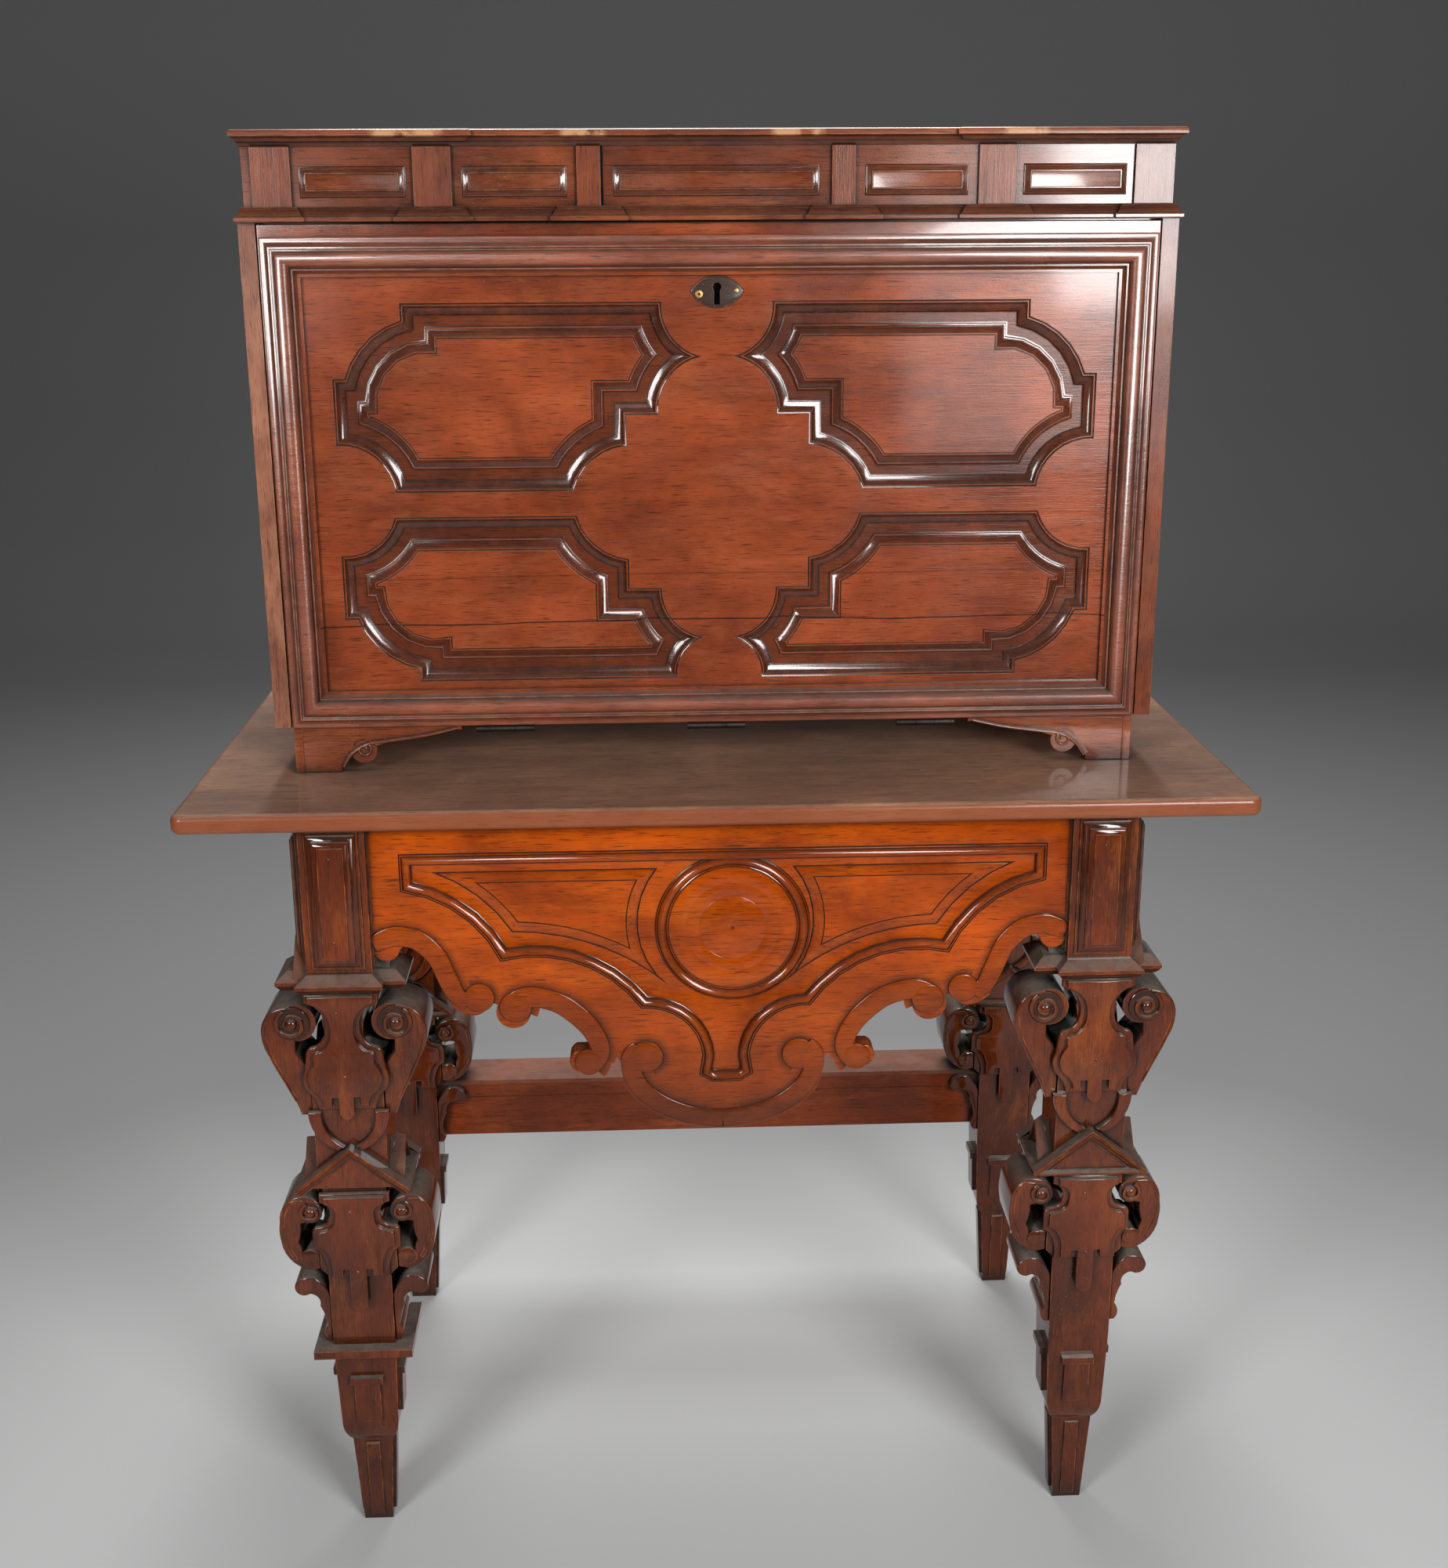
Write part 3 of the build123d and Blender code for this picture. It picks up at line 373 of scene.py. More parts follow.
def ridge(shape, path, base, height, squareness=1.0, around=8, foot=0.9, crown=0.1):
    """A raised band along a line of (x, z, width), bedded on the plane y = base."""
    rings = []
    # The band is painted darker at its foot than at its crown: painted shade in the crease, partly wax.
    shade = [crown + (foot - crown) * (1 - sin(pi * k / around)) ** 2 for k in range(around + 1)]
    for i, (x, z, width) in enumerate(path):
        nx, nz = sideways(path, i)
        ring = []
        for k in range(around + 1):
            a = pi * k / around
            side = cos(a)
            across = abs(side) ** squareness * (1 if side >= 0 else -1)
            up = sin(a) ** squareness
            ring.append((x + nx * across * width / 2, base - height * up, z + nz * across * width / 2))
        rings.append(ring)
    shape.rings(rings, closed=False, patina=[shade] * len(rings))
    for ring in (rings[0], rings[-1]):
        shape.add(list(ring), [tuple(range(len(ring)))], list(shade))


def shadow_strip(shape, path, side, base, reach, start=0.42):
    """A painted shadow beside a carved band: a dark strip on the flat that fades out."""
    rows = [(0.0, PAINTED_HOLLOW_SHADE), (2.0, PAINTED_HOLLOW_SHADE * 0.9), (reach * 0.55, PAINTED_HOLLOW_SHADE * 0.5), (reach, 0.0)]
    rings = []
    for away, _ in rows:
        ring = []
        for i, (x, z, width) in enumerate(path):
            nx, nz = sideways(path, i)
            off = side * (width * start + away)
            ring.append((x + nx * off, base, z + nz * off))
        rings.append(ring)
    shape.rings(rings, closed=False, patina=[shade for _, shade in rows])


print("a band through three knots has", len(smooth_path([(0, 0, 5), (50, 20, 8), (100, 0, 5)])), "points")

# %% hollows round a button, bosses and spirals
TURN_STEPS = 28


def shadow_arc(shape, x, z, radius, base, reach, first, last):
    """The same painted shadow round a button, between two angles in degrees."""
    count = max(4, round(abs(last - first) / 10))
    turns = [radians(first + (last - first) * k / count) for k in range(count + 1)]
    path = [(x + radius * cos(a), z + radius * sin(a), 0) for a in turns]
    shadow_strip(shape, path, -1 if last > first else 1, base, reach, start=0)


def boss(shape, x, z, profile, around=28):
    """A turned detail standing on the front face: (radius, y) from the rim to the middle."""
    turns = [2 * pi * k / around for k in range(around)]
    rings = [[(x + row[0] * cos(a), row[1], z + row[0] * sin(a)) for a in turns] for row in profile]
    shape.rings(rings, patina=shades(profile))
    shape.add(list(rings[-1]), [tuple(range(around))])


def spiral(x, z, outer, inner, start, turns, width_out, width_in, hand=1):
    count = round(turns * TURN_STEPS)
    path = []
    for k in range(count + 1):
        t = k / count
        r = outer + (inner - outer) * t ** 0.85
        a = radians(start) + hand * 2 * pi * turns * t
        path.append((x + r * cos(a), z + r * sin(a), width_out + (width_in - width_out) * t))
    return path


print("a spiral of one and a half turns has", len(spiral(0, 0, 20, 5, 0, 1.5, 5, 3)), "points")

# %% [markdown]
# ## From shape to piece
#
# Making the piece joins the touching points, turns all faces outward, shades the curved
# parts smooth and the crisp arrises sharp, gives it its finish, and hangs it on the body
# of the construction model that it moves with. Where points of different patina and
# painted shade meet, the darkest stays, so a joint keeps the darker of both.


# %% from millimetres to a clean mesh
TOUCHING = 0.00002
SPOTS_PER_MM = 40
SHARP_FROM = radians(32)


def raw_mesh(name, shape):
    mesh = bpy.data.meshes.new(name)
    mesh.from_pydata([(x / 1000, y / 1000, z / 1000) for x, y, z in shape.points], [], shape.faces)
    return mesh


def paint_patina(bm, shape):
    spots = [tuple(round(c * SPOTS_PER_MM) for c in point) for point in shape.points]
    deepest = {}
    for spot, shade in zip(spots, shape.patina):
        deepest[spot] = max(shade, deepest.get(spot, 0.0))
    layer = bm.verts.layers.float.new("patina")
    for vertex, spot in zip(bm.verts, spots):
        vertex[layer] = deepest[spot]


def clean_mesh(name, shape):
    mesh = raw_mesh(name, shape)
    bm = bmesh.new()
    bm.from_mesh(mesh)
    paint_patina(bm, shape)
    bmesh.ops.remove_doubles(bm, verts=bm.verts, dist=TOUCHING)
    bmesh.ops.dissolve_degenerate(bm, edges=bm.edges, dist=TOUCHING)
    bmesh.ops.recalc_face_normals(bm, faces=bm.faces)
    for face in bm.faces:
        face.smooth = True
    for edge in bm.edges:
        edge.smooth = len(edge.link_faces) == 2 and edge.calc_face_angle(0) < SHARP_FROM
    bm.to_mesh(mesh)
    bm.free()
    return mesh


print("arrises stay sharp from", round(degrees(SHARP_FROM)), "degrees")


# %% from mesh to piece
def make_piece(name, shape, finish, body, stands_for=()):
    mesh = clean_mesh(name, shape)
    piece = bpy.data.objects.new(name, mesh)
    bpy.context.scene.collection.objects.link(piece)
    mesh.materials.append(finish)
    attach(piece, body)
    if stands_for:
        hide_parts(*stands_for)
    print(f"{name}: {len(mesh.polygons)} faces")


# %% [markdown]
# ## A small helper for materials
#
# A finish is a network of shader nodes. Wiring them by hand in the editor is slow to
# repeat for a dozen woods, so a small recipe object adds nodes and joins them in one line
# each. All patterns use the object's own coordinates, in metres, so they stay on the wood.


# %% the material helper
class Recipe:
    """Adds shader nodes and joins them in one line."""

    def __init__(self, name):
        self.material = bpy.data.materials.new(name)
        self.material.use_nodes = True
        self.tree = self.material.node_tree
        self.tree.nodes.clear()
        output = self.tree.nodes.new("ShaderNodeOutputMaterial")
        self.shader = self.tree.nodes.new("ShaderNodeBsdfPrincipled")
        self.tree.links.new(self.shader.outputs[0], output.inputs["Surface"])
        self.coords = self.tree.nodes.new("ShaderNodeTexCoord")

    def node(self, kind, settings=None, **inputs):
        made = self.tree.nodes.new("ShaderNode" + kind)
        for key, value in (settings or {}).items():
            setattr(made, key, value)
        for key, value in inputs.items():
            self.plug(made, key, value)
        return made

    def plug(self, node, key, value):
        """Join or set a socket: i0, i1 and so on by number, or by name with _ for spaces."""
        socket = node.inputs[int(key[1:])] if key[1:].isdigit() else node.inputs[key.replace("_", " ")]
        if isinstance(value, bpy.types.NodeSocket):
            self.tree.links.new(value, socket)
        else:
            socket.default_value = value

    def noise(self, scale, stretch=(1, 1, 1), detail=4, rough=0.5, distortion=0, shift=(0, 0, 0)):
        spread = self.node("Mapping", Vector=self.coords.outputs["Object"], Scale=stretch, Location=shift)
        made = self.node("TexNoise", Vector=spread.outputs[0], Scale=scale, Detail=detail,
                         Roughness=rough, Distortion=distortion)
        return made.outputs["Fac"]

    def place(self, axis):
        """Where the point is along one axis, in metres."""
        return self.node("SeparateXYZ", Vector=self.coords.outputs["Object"]).outputs[axis]

    def levels(self, value, low, high, out_low=0.0, out_high=1.0):
        return self.node("MapRange", i0=value, i1=low, i2=high, i3=out_low, i4=out_high).outputs[0]

    def math(self, how, a, b=0.0):
        return self.node("Math", {"operation": how}, i0=a, i1=b).outputs[0]

    def mix(self, amount, a, b):
        return self.node("MixRGB", i0=amount, i1=a, i2=b).outputs[0]


def rgb(r, g, b):
    return (r, g, b, 1.0)


print("a recipe can add", ", ".join(n for n in vars(Recipe) if not n.startswith("_")))

# %% [markdown]
# ## Old varnished wood: the board itself
#
# The object is a dense reddish-brown hardwood under layers of darkened varnish. Before any
# wear, the board has long streaks with the grain, broad lighter and darker zones, fine
# open pores and short dark flecks, cloudy patches where the varnish has thickened, and
# warm ones where it is thin. A picture of wood would be quicker, but it would stretch over
# the carving. Noise drawn out along the grain runs through all the pieces as real grain
# does.


# %% grain and colour
# Near-black brown: real dirt in pores and cracks, and painted shade in corners and grooves.
GRIME_AND_SHADE = rgb(0.010, 0.006, 0.004)
DUST = rgb(0.19, 0.16, 0.135)
CRUST = rgb(0.34, 0.24, 0.17)
BARE_WOOD = rgb(0.46, 0.23, 0.115)
LONG, HALF_LONG, SHORT = 0.05, 0.11, 0.3


def drawn_out(grain, amount):
    """Noise stretched along the grain; the smaller the amount, the longer the streaks."""
    return tuple(amount if axis == grain else 1 for axis in "XYZ")


def board_colour(r, grain, shift, light, mid, dark, worn, streak, patches, warm, fleck, pores):
    along, cloudy = drawn_out(grain, LONG), drawn_out(grain, SHORT)
    figure = r.noise(streak, along, detail=6, rough=0.62, distortion=0.8, shift=shift)
    broad = r.noise(7, (0.8, 1, 1), detail=6, rough=0.6, distortion=0.4, shift=shift)
    flecks = r.noise(230, drawn_out(grain, HALF_LONG), detail=3, rough=0.6, distortion=0.3, shift=shift)
    cloud = r.noise(15, cloudy, detail=6, rough=0.7, shift=shift)
    glow = r.noise(22, cloudy, detail=7, rough=0.75, distortion=0.5, shift=(7, 2, 5))
    tone = r.mix(r.levels(figure, 0.36, 0.62), r.mix(0.5, dark, mid), mid)
    tone = r.mix(r.levels(broad, 0.4, 0.66), tone, light)
    tone = r.mix(r.levels(cloud, 0.42, 0.72, 0.0, patches), tone, r.mix(0.7, tone, dark))
    tone = r.mix(r.levels(glow, 0.5, 0.7, 0.0, warm), tone, r.mix(0.4, light, worn))
    tone = r.mix(r.levels(flecks, 0.56, 0.66, 0.0, fleck), tone, dark)
    return r.mix(r.levels(pores, 0.56, 0.66, 0.0, 0.7), tone, r.mix(0.6, dark, GRIME_AND_SHADE))


def darker_downward(r, tone, dark, start, end, amount):
    """Wood that darkens gradually from one height to another."""
    return r.mix(r.levels(r.place("Z"), start, end, 0.0, amount), tone, r.mix(0.5, dark, GRIME_AND_SHADE))


print("grain is drawn out", round(1 / LONG), "times, flecks", round(1 / HALF_LONG), "times")

# %% [markdown]
# ## Old varnished wood: wear, wax, dust and painted shade
#
# Age is laid over the board in the order it really came, and painted shade with it. Hands
# and brooms rub the arrises through, which the Bevel node finds by comparing the softened
# surface with the true one. Corners and recesses get painted shade, found by ambient
# occlusion. The grooves of mouldings are darkened where the patina and shade of each
# profile say so, partly dark wax and partly painted shade. Dust settles on whatever faces
# up, and a few pale crusts cling anywhere. Cracks and bare patches are placed one by one.


# %% wear, dirt and painted shade
def rubbed_arrises(r, tone, worn, wear, soft, rubbed):
    true = r.node("NewGeometry").outputs["Normal"]
    bend = r.node("VectorMath", {"operation": "DOT_PRODUCT"}, i0=soft, i1=true).outputs["Value"]
    arris = r.math("MULTIPLY", r.levels(bend, 0.985, 0.86), r.levels(rubbed, 0.44, 0.6, 0.05, 1.0))
    return r.mix(r.math("MULTIPLY", arris, wear), tone, worn)


def shaded_and_waxed_hollows(r, tone, dark, painted_corner_shade, reach):
    # Painted shade: ambient occlusion darkens the colour in corners and recesses.
    hollow = r.node("AmbientOcclusion", {"samples": 6}, Distance=reach).outputs["AO"]
    tone = r.mix(r.levels(hollow, 0.86, 0.4, 0.0, painted_corner_shade), tone, GRIME_AND_SHADE)
    # Patina and painted shade from the profiles: grooves, undersides of rounds and creases go dark, partly
    # wax, partly painted shade.
    patina = r.node("Attribute", {"attribute_name": "patina"}).outputs["Fac"]
    uneven = r.levels(r.noise(70, rough=0.7), 0.3, 0.6, 0.72, 1.0)
    return r.mix(r.math("MULTIPLY", patina, uneven), tone, r.mix(0.25, GRIME_AND_SHADE, dark))


def dust_film(r, facing_up, dust):
    thick = r.levels(r.noise(60, detail=5, rough=0.7), 0.3, 0.62, 0.45, 1.0)
    return r.math("MULTIPLY", r.math("MULTIPLY", r.levels(facing_up, 0.45, 0.95), thick), dust)


def crusted(r, tone, specks):
    crust = r.levels(r.noise(650, detail=2, rough=0.7), 0.68, 0.74, 0.0, specks)
    where = r.levels(r.noise(9, detail=3, rough=0.6), 0.5, 0.66)
    return r.mix(r.math("MULTIPLY", crust, where), tone, CRUST)


def cracked(r, tone, height, depth):
    """A shrinkage crack that wanders along the board at a height."""
    sway = r.noise(2.2, (1, 0, 0), detail=3, rough=0.6, shift=(height, 0, 0))
    line = r.math("ADD", r.place("Z"), r.levels(sway, 0.3, 0.7, -0.004, 0.004))
    near = r.math("ABSOLUTE", r.math("SUBTRACT", line, height))
    return r.mix(r.levels(near, 0.0011, 0.0004, 0.0, depth), tone, GRIME_AND_SHADE)


def bared(r, tone, rubbed, middle, half):
    """A patch of raw wood, kept to the top and the front few millimetres of the lid's crown."""
    beside = r.math("ABSOLUTE", r.math("SUBTRACT", r.place("X"), middle))
    inward = r.math("ADD", r.place("Y"), r.levels(rubbed, 0.3, 0.7, -0.008, 0.008))
    patch = r.levels(beside, half, half * 0.75)
    for limit in (r.levels(r.place("Z"), 1.598, 1.6), r.levels(inward, -0.137, -0.141),
                  r.levels(rubbed, 0.36, 0.5)):
        patch = r.math("MULTIPLY", patch, limit)
    return r.mix(patch, tone, BARE_WOOD)


def varnish_relief(r, soft, pores, grain, shift):
    """Open pores, orange-peel varnish and the long swell of a planed board."""
    skin = r.noise(520, detail=2, rough=0.6)
    swell = r.noise(90, drawn_out(grain, LONG), detail=3, rough=0.5, shift=shift)
    normal = soft
    for height, strength, depth in ((pores, 0.3, 0.0006), (skin, 0.16, 0.0006), (swell, 0.22, 0.0016)):
        normal = r.node("Bump", Strength=strength, Distance=depth, Height=height, Normal=normal).outputs[0]
    return normal


print("wear is laid over the board in six steps")

# %% [markdown]
# ## Old varnished wood: the whole recipe
#
# The steps run in order and end in one shader. Dust also dulls the gloss. The varnish is
# the shader's coat, a clear layer with its own sharper shine, and these amounts are the
# same all over a piece, so they are set straight on the shader.


# %% the wood recipe
COAT_ROUGHNESS = 0.09
SOFT_EDGE = 0.0014


def wood(name, light, mid, dark, grain="X", gloss=0.2, dust=0.35, painted_corner_shade=0.9, wear=0.6,
         worn=rgb(0.36, 0.15, 0.06), patches=0.5, coat=0.3, shift=(0, 0, 0), streak=26, cracks=(),
         specks=0.5, warm=0.4, shine=0.22, fleck=0.5, downward_darkening=None, reach=0.02, bare=(), edge=None):
    r = Recipe(name)
    pores = r.noise(760, drawn_out(grain, LONG), detail=3, rough=0.6, shift=shift)
    rubbed = r.noise(45, rough=0.65)
    soft = r.node("Bevel", {"samples": 4}, Radius=SOFT_EDGE).outputs[0]
    facing_up = r.node("SeparateXYZ", Vector=r.coords.outputs["Normal"]).outputs["Z"]
    tone = board_colour(r, grain, shift, light, mid, dark, worn, streak, patches, warm, fleck, pores)
    if downward_darkening:
        tone = darker_downward(r, tone, dark, *downward_darkening)
    tone = rubbed_arrises(r, tone, worn, wear, soft, rubbed)
    tone = shaded_and_waxed_hollows(r, tone, dark, painted_corner_shade, reach)
    if edge:
        tone = r.mix(r.levels(facing_up, 0.9, 0.55, 0.0, 0.8), tone, edge)
    film = dust_film(r, facing_up, dust)
    tone = crusted(r, r.mix(film, tone, DUST), specks)
    for height, depth in cracks:
        tone = cracked(r, tone, height, depth)
    for middle, half in bare:
        tone = bared(r, tone, rubbed, middle, half)
    sheen = r.levels(r.noise(16, rough=0.6), 0.3, 0.7, gloss - 0.05, gloss + 0.1)
    r.plug(r.shader, "Base_Color", tone)
    r.plug(r.shader, "Roughness", r.math("ADD", sheen, r.math("MULTIPLY", film, 0.55)))
    r.plug(r.shader, "Normal", varnish_relief(r, soft, pores, grain, shift))
    r.shader.inputs["Specular IOR Level"].default_value = shine
    r.shader.inputs["Coat Weight"].default_value = coat
    r.shader.inputs["Coat Roughness"].default_value = COAT_ROUGHNESS
    print(name, "has", len(r.tree.nodes), "nodes")
    return r.material


# %% [markdown]
# ## The woods of the chest
#
# All the woods are one species, but a hand has reached each part differently. The fall is
# red and glossy, its moulding browner, the left side board paler than the right and less
# glossy, and the crown of the lid has lost its varnish in four places.

# %% woods of the chest
fall_wood = wood(
    "fall_wood", rgb(0.33, 0.064, 0.018), rgb(0.195, 0.036, 0.011), rgb(0.050, 0.011, 0.005),
    gloss=0.19, cracks=((1.083, 0.9), (1.135, 0.35)), wear=0.4, coat=0.7, shine=0.25,
    fleck=0.16, reach=0.026, specks=0.7)
frame_wood = wood(
    "frame_wood", rgb(0.29, 0.072, 0.030), rgb(0.18, 0.042, 0.019), rgb(0.050, 0.014, 0.008),
    gloss=0.30, wear=0.75, worn=rgb(0.52, 0.24, 0.12), coat=0.6, shine=0.7, shift=(1, 4, 2),
    fleck=0.2, specks=0.9, painted_corner_shade=1.0)
case_wood = wood(
    "case_wood", rgb(0.25, 0.058, 0.018), rgb(0.145, 0.032, 0.011), rgb(0.042, 0.011, 0.006),
    gloss=0.2, wear=0.75, worn=rgb(0.46, 0.20, 0.09), coat=0.7, shine=0.25, fleck=0.2,
    reach=0.03, specks=0.8, painted_corner_shade=1.0)
crown_wood = wood(
    "crown_wood", rgb(0.28, 0.070, 0.024), rgb(0.17, 0.042, 0.016), rgb(0.050, 0.014, 0.008),
    gloss=0.3, wear=0.9, worn=rgb(0.48, 0.22, 0.10), coat=0.25, shine=0.25, fleck=0.2,
    bare=((-0.318, 0.040), (-0.135, 0.026), (0.09, 0.03), (0.325, 0.03)))
side_wood = wood(
    "side_wood", rgb(0.24, 0.058, 0.020), rgb(0.15, 0.032, 0.012), rgb(0.050, 0.013, 0.008),
    "Z", gloss=0.26, wear=0.9, coat=0.35, shift=(3, 1, 0), shine=0.25, fleck=0.35)
left_wood = wood(
    "left_board_wood", rgb(0.37, 0.145, 0.080), rgb(0.23, 0.082, 0.046), rgb(0.065, 0.024, 0.015),
    "Z", gloss=0.3, wear=0.9, worn=rgb(0.52, 0.30, 0.19), coat=0.3, shift=(5, 2, 0), specks=0.9,
    patches=0.9, fleck=0.5)

# %% [markdown]
# ## The woods of the stand
#
# The apron is the brightest part, orange under a thick clear varnish and darker towards
# its lower edge. The legs are the darkest and dirtiest, with the deepest painted shade in
# their hollows, and darker towards the floor. The table top is greyed by dust and water on
# its face, and red-brown on its edges and underside.

# %% woods of the stand
table_wood = wood(
    "table_wood", rgb(0.46, 0.225, 0.122), rgb(0.31, 0.146, 0.082), rgb(0.12, 0.052, 0.030),
    gloss=0.32, dust=0.3, wear=0.85, worn=rgb(0.21, 0.045, 0.010), patches=0.8, specks=1.0,
    edge=rgb(0.19, 0.040, 0.010))
apron_wood = wood(
    "apron_wood", rgb(0.46, 0.070, 0.001), rgb(0.26, 0.034, 0.001), rgb(0.070, 0.012, 0.001),
    gloss=0.15, dust=0.12, wear=0.4, worn=rgb(0.62, 0.17, 0.01), streak=34, coat=0.75,
    specks=0.2, patches=0.5, shine=0.0, fleck=0.2, downward_darkening=(0.72, 0.54, 0.62), painted_corner_shade=1.0)
leg_wood = wood(
    "leg_wood", rgb(0.175, 0.030, 0.005), rgb(0.098, 0.016, 0.003), rgb(0.030, 0.006, 0.002),
    "Z", gloss=0.18, dust=0.85, painted_corner_shade=1.0, wear=1.0, worn=rgb(0.62, 0.18, 0.03), patches=0.6,
    coat=1.0, shine=0.0, fleck=0.25, downward_darkening=(0.72, 0.1, 0.5), reach=0.045)
stretcher_wood = wood(
    "stretcher_wood", rgb(0.29, 0.052, 0.011), rgb(0.18, 0.030, 0.007), rgb(0.060, 0.012, 0.003),
    gloss=0.25, dust=0.5, wear=0.6, worn=rgb(0.45, 0.15, 0.04), coat=0.4, shine=0.1)

# %% [markdown]
# ## Hidden woods, and the lacquer of the lock plate
#
# Backs and insides were never varnished, so they are dry and brown. The lock plate is
# painted with the same recipe, because old lacquer on iron rubs through in the same way.

# %% dry woods and plate lacquer
back_wood = wood(
    "back_wood", rgb(0.16, 0.075, 0.035), rgb(0.10, 0.045, 0.022), rgb(0.05, 0.025, 0.014),
    gloss=0.55, dust=0.4, wear=0.5, coat=0.0)
nest_wood = wood(
    "nest_wood", rgb(0.28, 0.12, 0.05), rgb(0.19, 0.075, 0.03), rgb(0.09, 0.035, 0.016),
    gloss=0.4, dust=0.15, wear=0.4, coat=0.1)
inner_wood = wood(
    "inner_wood", rgb(0.20, 0.070, 0.030), rgb(0.125, 0.042, 0.019), rgb(0.05, 0.018, 0.010),
    gloss=0.42, dust=0.3, wear=0.6, coat=0.08, shine=0.3)
plate_lacquer = wood(
    "plate_lacquer", rgb(0.060, 0.034, 0.026), rgb(0.042, 0.024, 0.019), rgb(0.022, 0.013, 0.010),
    gloss=0.22, dust=0.0, painted_corner_shade=0.5, wear=1.0, worn=rgb(0.66, 0.40, 0.26), patches=0.3,
    coat=0.8, specks=0.9, warm=0.0, fleck=0.2)

# %% [markdown]
# ## Iron and brass
#
# The lock and hinges are forged iron gone almost black, with a faint brown bloom of rust
# in the pits. The nails of the lock plate are brass, rubbed bright on top, with painted
# shade in the middle of each pierced head and at its foot. One recipe with three colours
# and a roughness serves both.


# %% metals
def metal(name, bright, dull, rust, rough):
    r = Recipe(name)
    pits = r.noise(240, detail=5, rough=0.7)
    cloud = r.noise(45, detail=3, rough=0.6)
    tone = r.mix(r.levels(cloud, 0.4, 0.65), bright, dull)
    tone = r.mix(r.levels(pits, 0.55, 0.72, 0.0, 0.8), tone, rust)
    # Patina and painted shade from the profile: dark at the foot of a head and in its pierced middle.
    laid = r.node("Attribute", {"attribute_name": "patina"})
    tone = r.mix(laid.outputs["Fac"], tone, GRIME_AND_SHADE)
    bump = r.node("Bump", Strength=0.4, Distance=0.0005, Height=pits)
    r.plug(r.shader, "Base_Color", tone)
    r.plug(r.shader, "Roughness", r.levels(cloud, 0.3, 0.7, rough - 0.1, rough + 0.15))
    r.plug(r.shader, "Normal", bump.outputs[0])
    r.shader.inputs["Metallic"].default_value = 0.9
    return r.material


iron = metal("forged_iron", rgb(0.05, 0.04, 0.034), rgb(0.022, 0.018, 0.016), rgb(0.045, 0.02, 0.01), 0.45)
brass = metal("rubbed_brass", rgb(0.62, 0.38, 0.14), rgb(0.36, 0.2, 0.08), rgb(0.12, 0.06, 0.03), 0.3)
print("metals made:", iron.name, brass.name)

# %% [markdown]
# ## Finishing the plain boards
#
# The construction model's boards, drawers and hinges keep their own shape. They only
# need the right wood, with its grain running along the board. Most are named one by one;
# whole families, such as legs, drawers and hinges, are known by their names.

# %% finishes for the plain boards
FINISHES = {
    "table_top": table_wood, "apron_back": back_wood, "apron_left": leg_wood, "apron_right": leg_wood,
    "case_side_left": left_wood, "case_side_right": side_wood, "case_bottom": case_wood,
    "case_back": back_wood, "case_top": case_wood, "lid_frieze": case_wood, "lid_walls": inner_wood,
    "lid_top": case_wood, "lid_pilasters": side_wood, "stretcher": stretcher_wood,
    "nest_boards": nest_wood, "cupboard_door": nest_wood, "drawer_knobs": nest_wood,
    "escutcheon_nails": brass,
}
for node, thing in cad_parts.items():
    if node.startswith("leg_"):
        finish = leg_wood
    elif node.startswith("drawer_") and node != "drawer_knobs":
        finish = nest_wood
    elif node == "escutcheon":
        finish = plate_lacquer
    elif "hinge" in node or node.startswith("lock"):
        finish = iron
    else:
        finish = FINISHES.get(node, case_wood)
    thing.data.materials.clear()
    thing.data.materials.append(finish)
print("finished", len(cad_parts), "boards and fittings")

# %% [markdown]
# ## The fall front
#
# The fall is one wide board. Round its edge runs a bold mitred moulding, a fat round next
# to a small hollow. The field inside is cut with four shaped panels: each is a channel
# between two moulded shoulders that leaves a flat island in the middle. Cutting the
# channels out with booleans would give a heavy, ragged mesh. A profile run round an
# outline is light, and all its tiny steps mitre by themselves. Each row of a profile is
# (how far in, the plane it lies on, patina and painted shade).

# %% drawings of the panels and the channel
PANEL_UPPER = [
    (60, 465, 0), (340, 465, 0), (340, 447, 0.25), (403, 386, 0), (416, 386, 0),
    (416, 315, -0.4), (354, 263, 0), (160, 263, -0.316), (100, 312, 0), (100, 345, 0),
    (65, 345, -0.387), (17, 407, -0.376)]
PANEL_LOWER = [
    (157, 236, 0), (357, 236, -0.36), (418, 194, 0), (418, 122, 0), (404, 122, 0.25),
    (338, 64, 0), (338, 50, 0), (48, 50, -0.35), (17, 97, -0.38), (64, 154, 0),
    (100, 154, 0), (100, 187, -0.316)]
F = FIELD
CHANNEL = [
    (0, F), (0.4, F + 1.2, 0.95), (1.4, F + 1.6, 0.9), (1.8, F + 0.6, 0.15), (3, F + 0.6, 0.1),
    (3.4, F + 2.2, 0.9), (5, F + 3.6, 0.85), (8, F + 5.2, 0.8), (11, F + 6, 0.85),
    (12.2, F + 6.4, 0.97), (12.6, F + 7.8, 1), (13.4, F + 8, 0.8), (14.5, F + 8, 0.6),
    (23, F + 8, 0.6), (24.4, F + 8, 0.8), (25, F + 7.8, 1), (25.4, F + 6.2, 0.8),
    (25.8, F + 5.6, 0.1), (27, F + 5.4, 0.1), (27.4, F + 6, 0.95), (28.4, F + 5.6, 0.85),
    (31, F + 4.2, 0.75), (34, F + 2.2, 0.7), (35, F + 1.4, 0.5), (35.4, F + 0.2, 0.1),
    (36.4, F + 0.2), (36.8, F + 0.9, 0.95), (37.4, F + 0.9, 0.9), (38, F)]
KEY_X, KEY_Z = FALL_MIDDLE, 1441
KEYHOLE = [(KEY_X - 3, KEY_Z + 1.5, 2.695), (KEY_X + 3, KEY_Z + 1.5, 0), (KEY_X + 3.2, KEY_Z - 13.5, 0),
           (KEY_X - 3.2, KEY_Z - 13.5, 0)]
islands = []
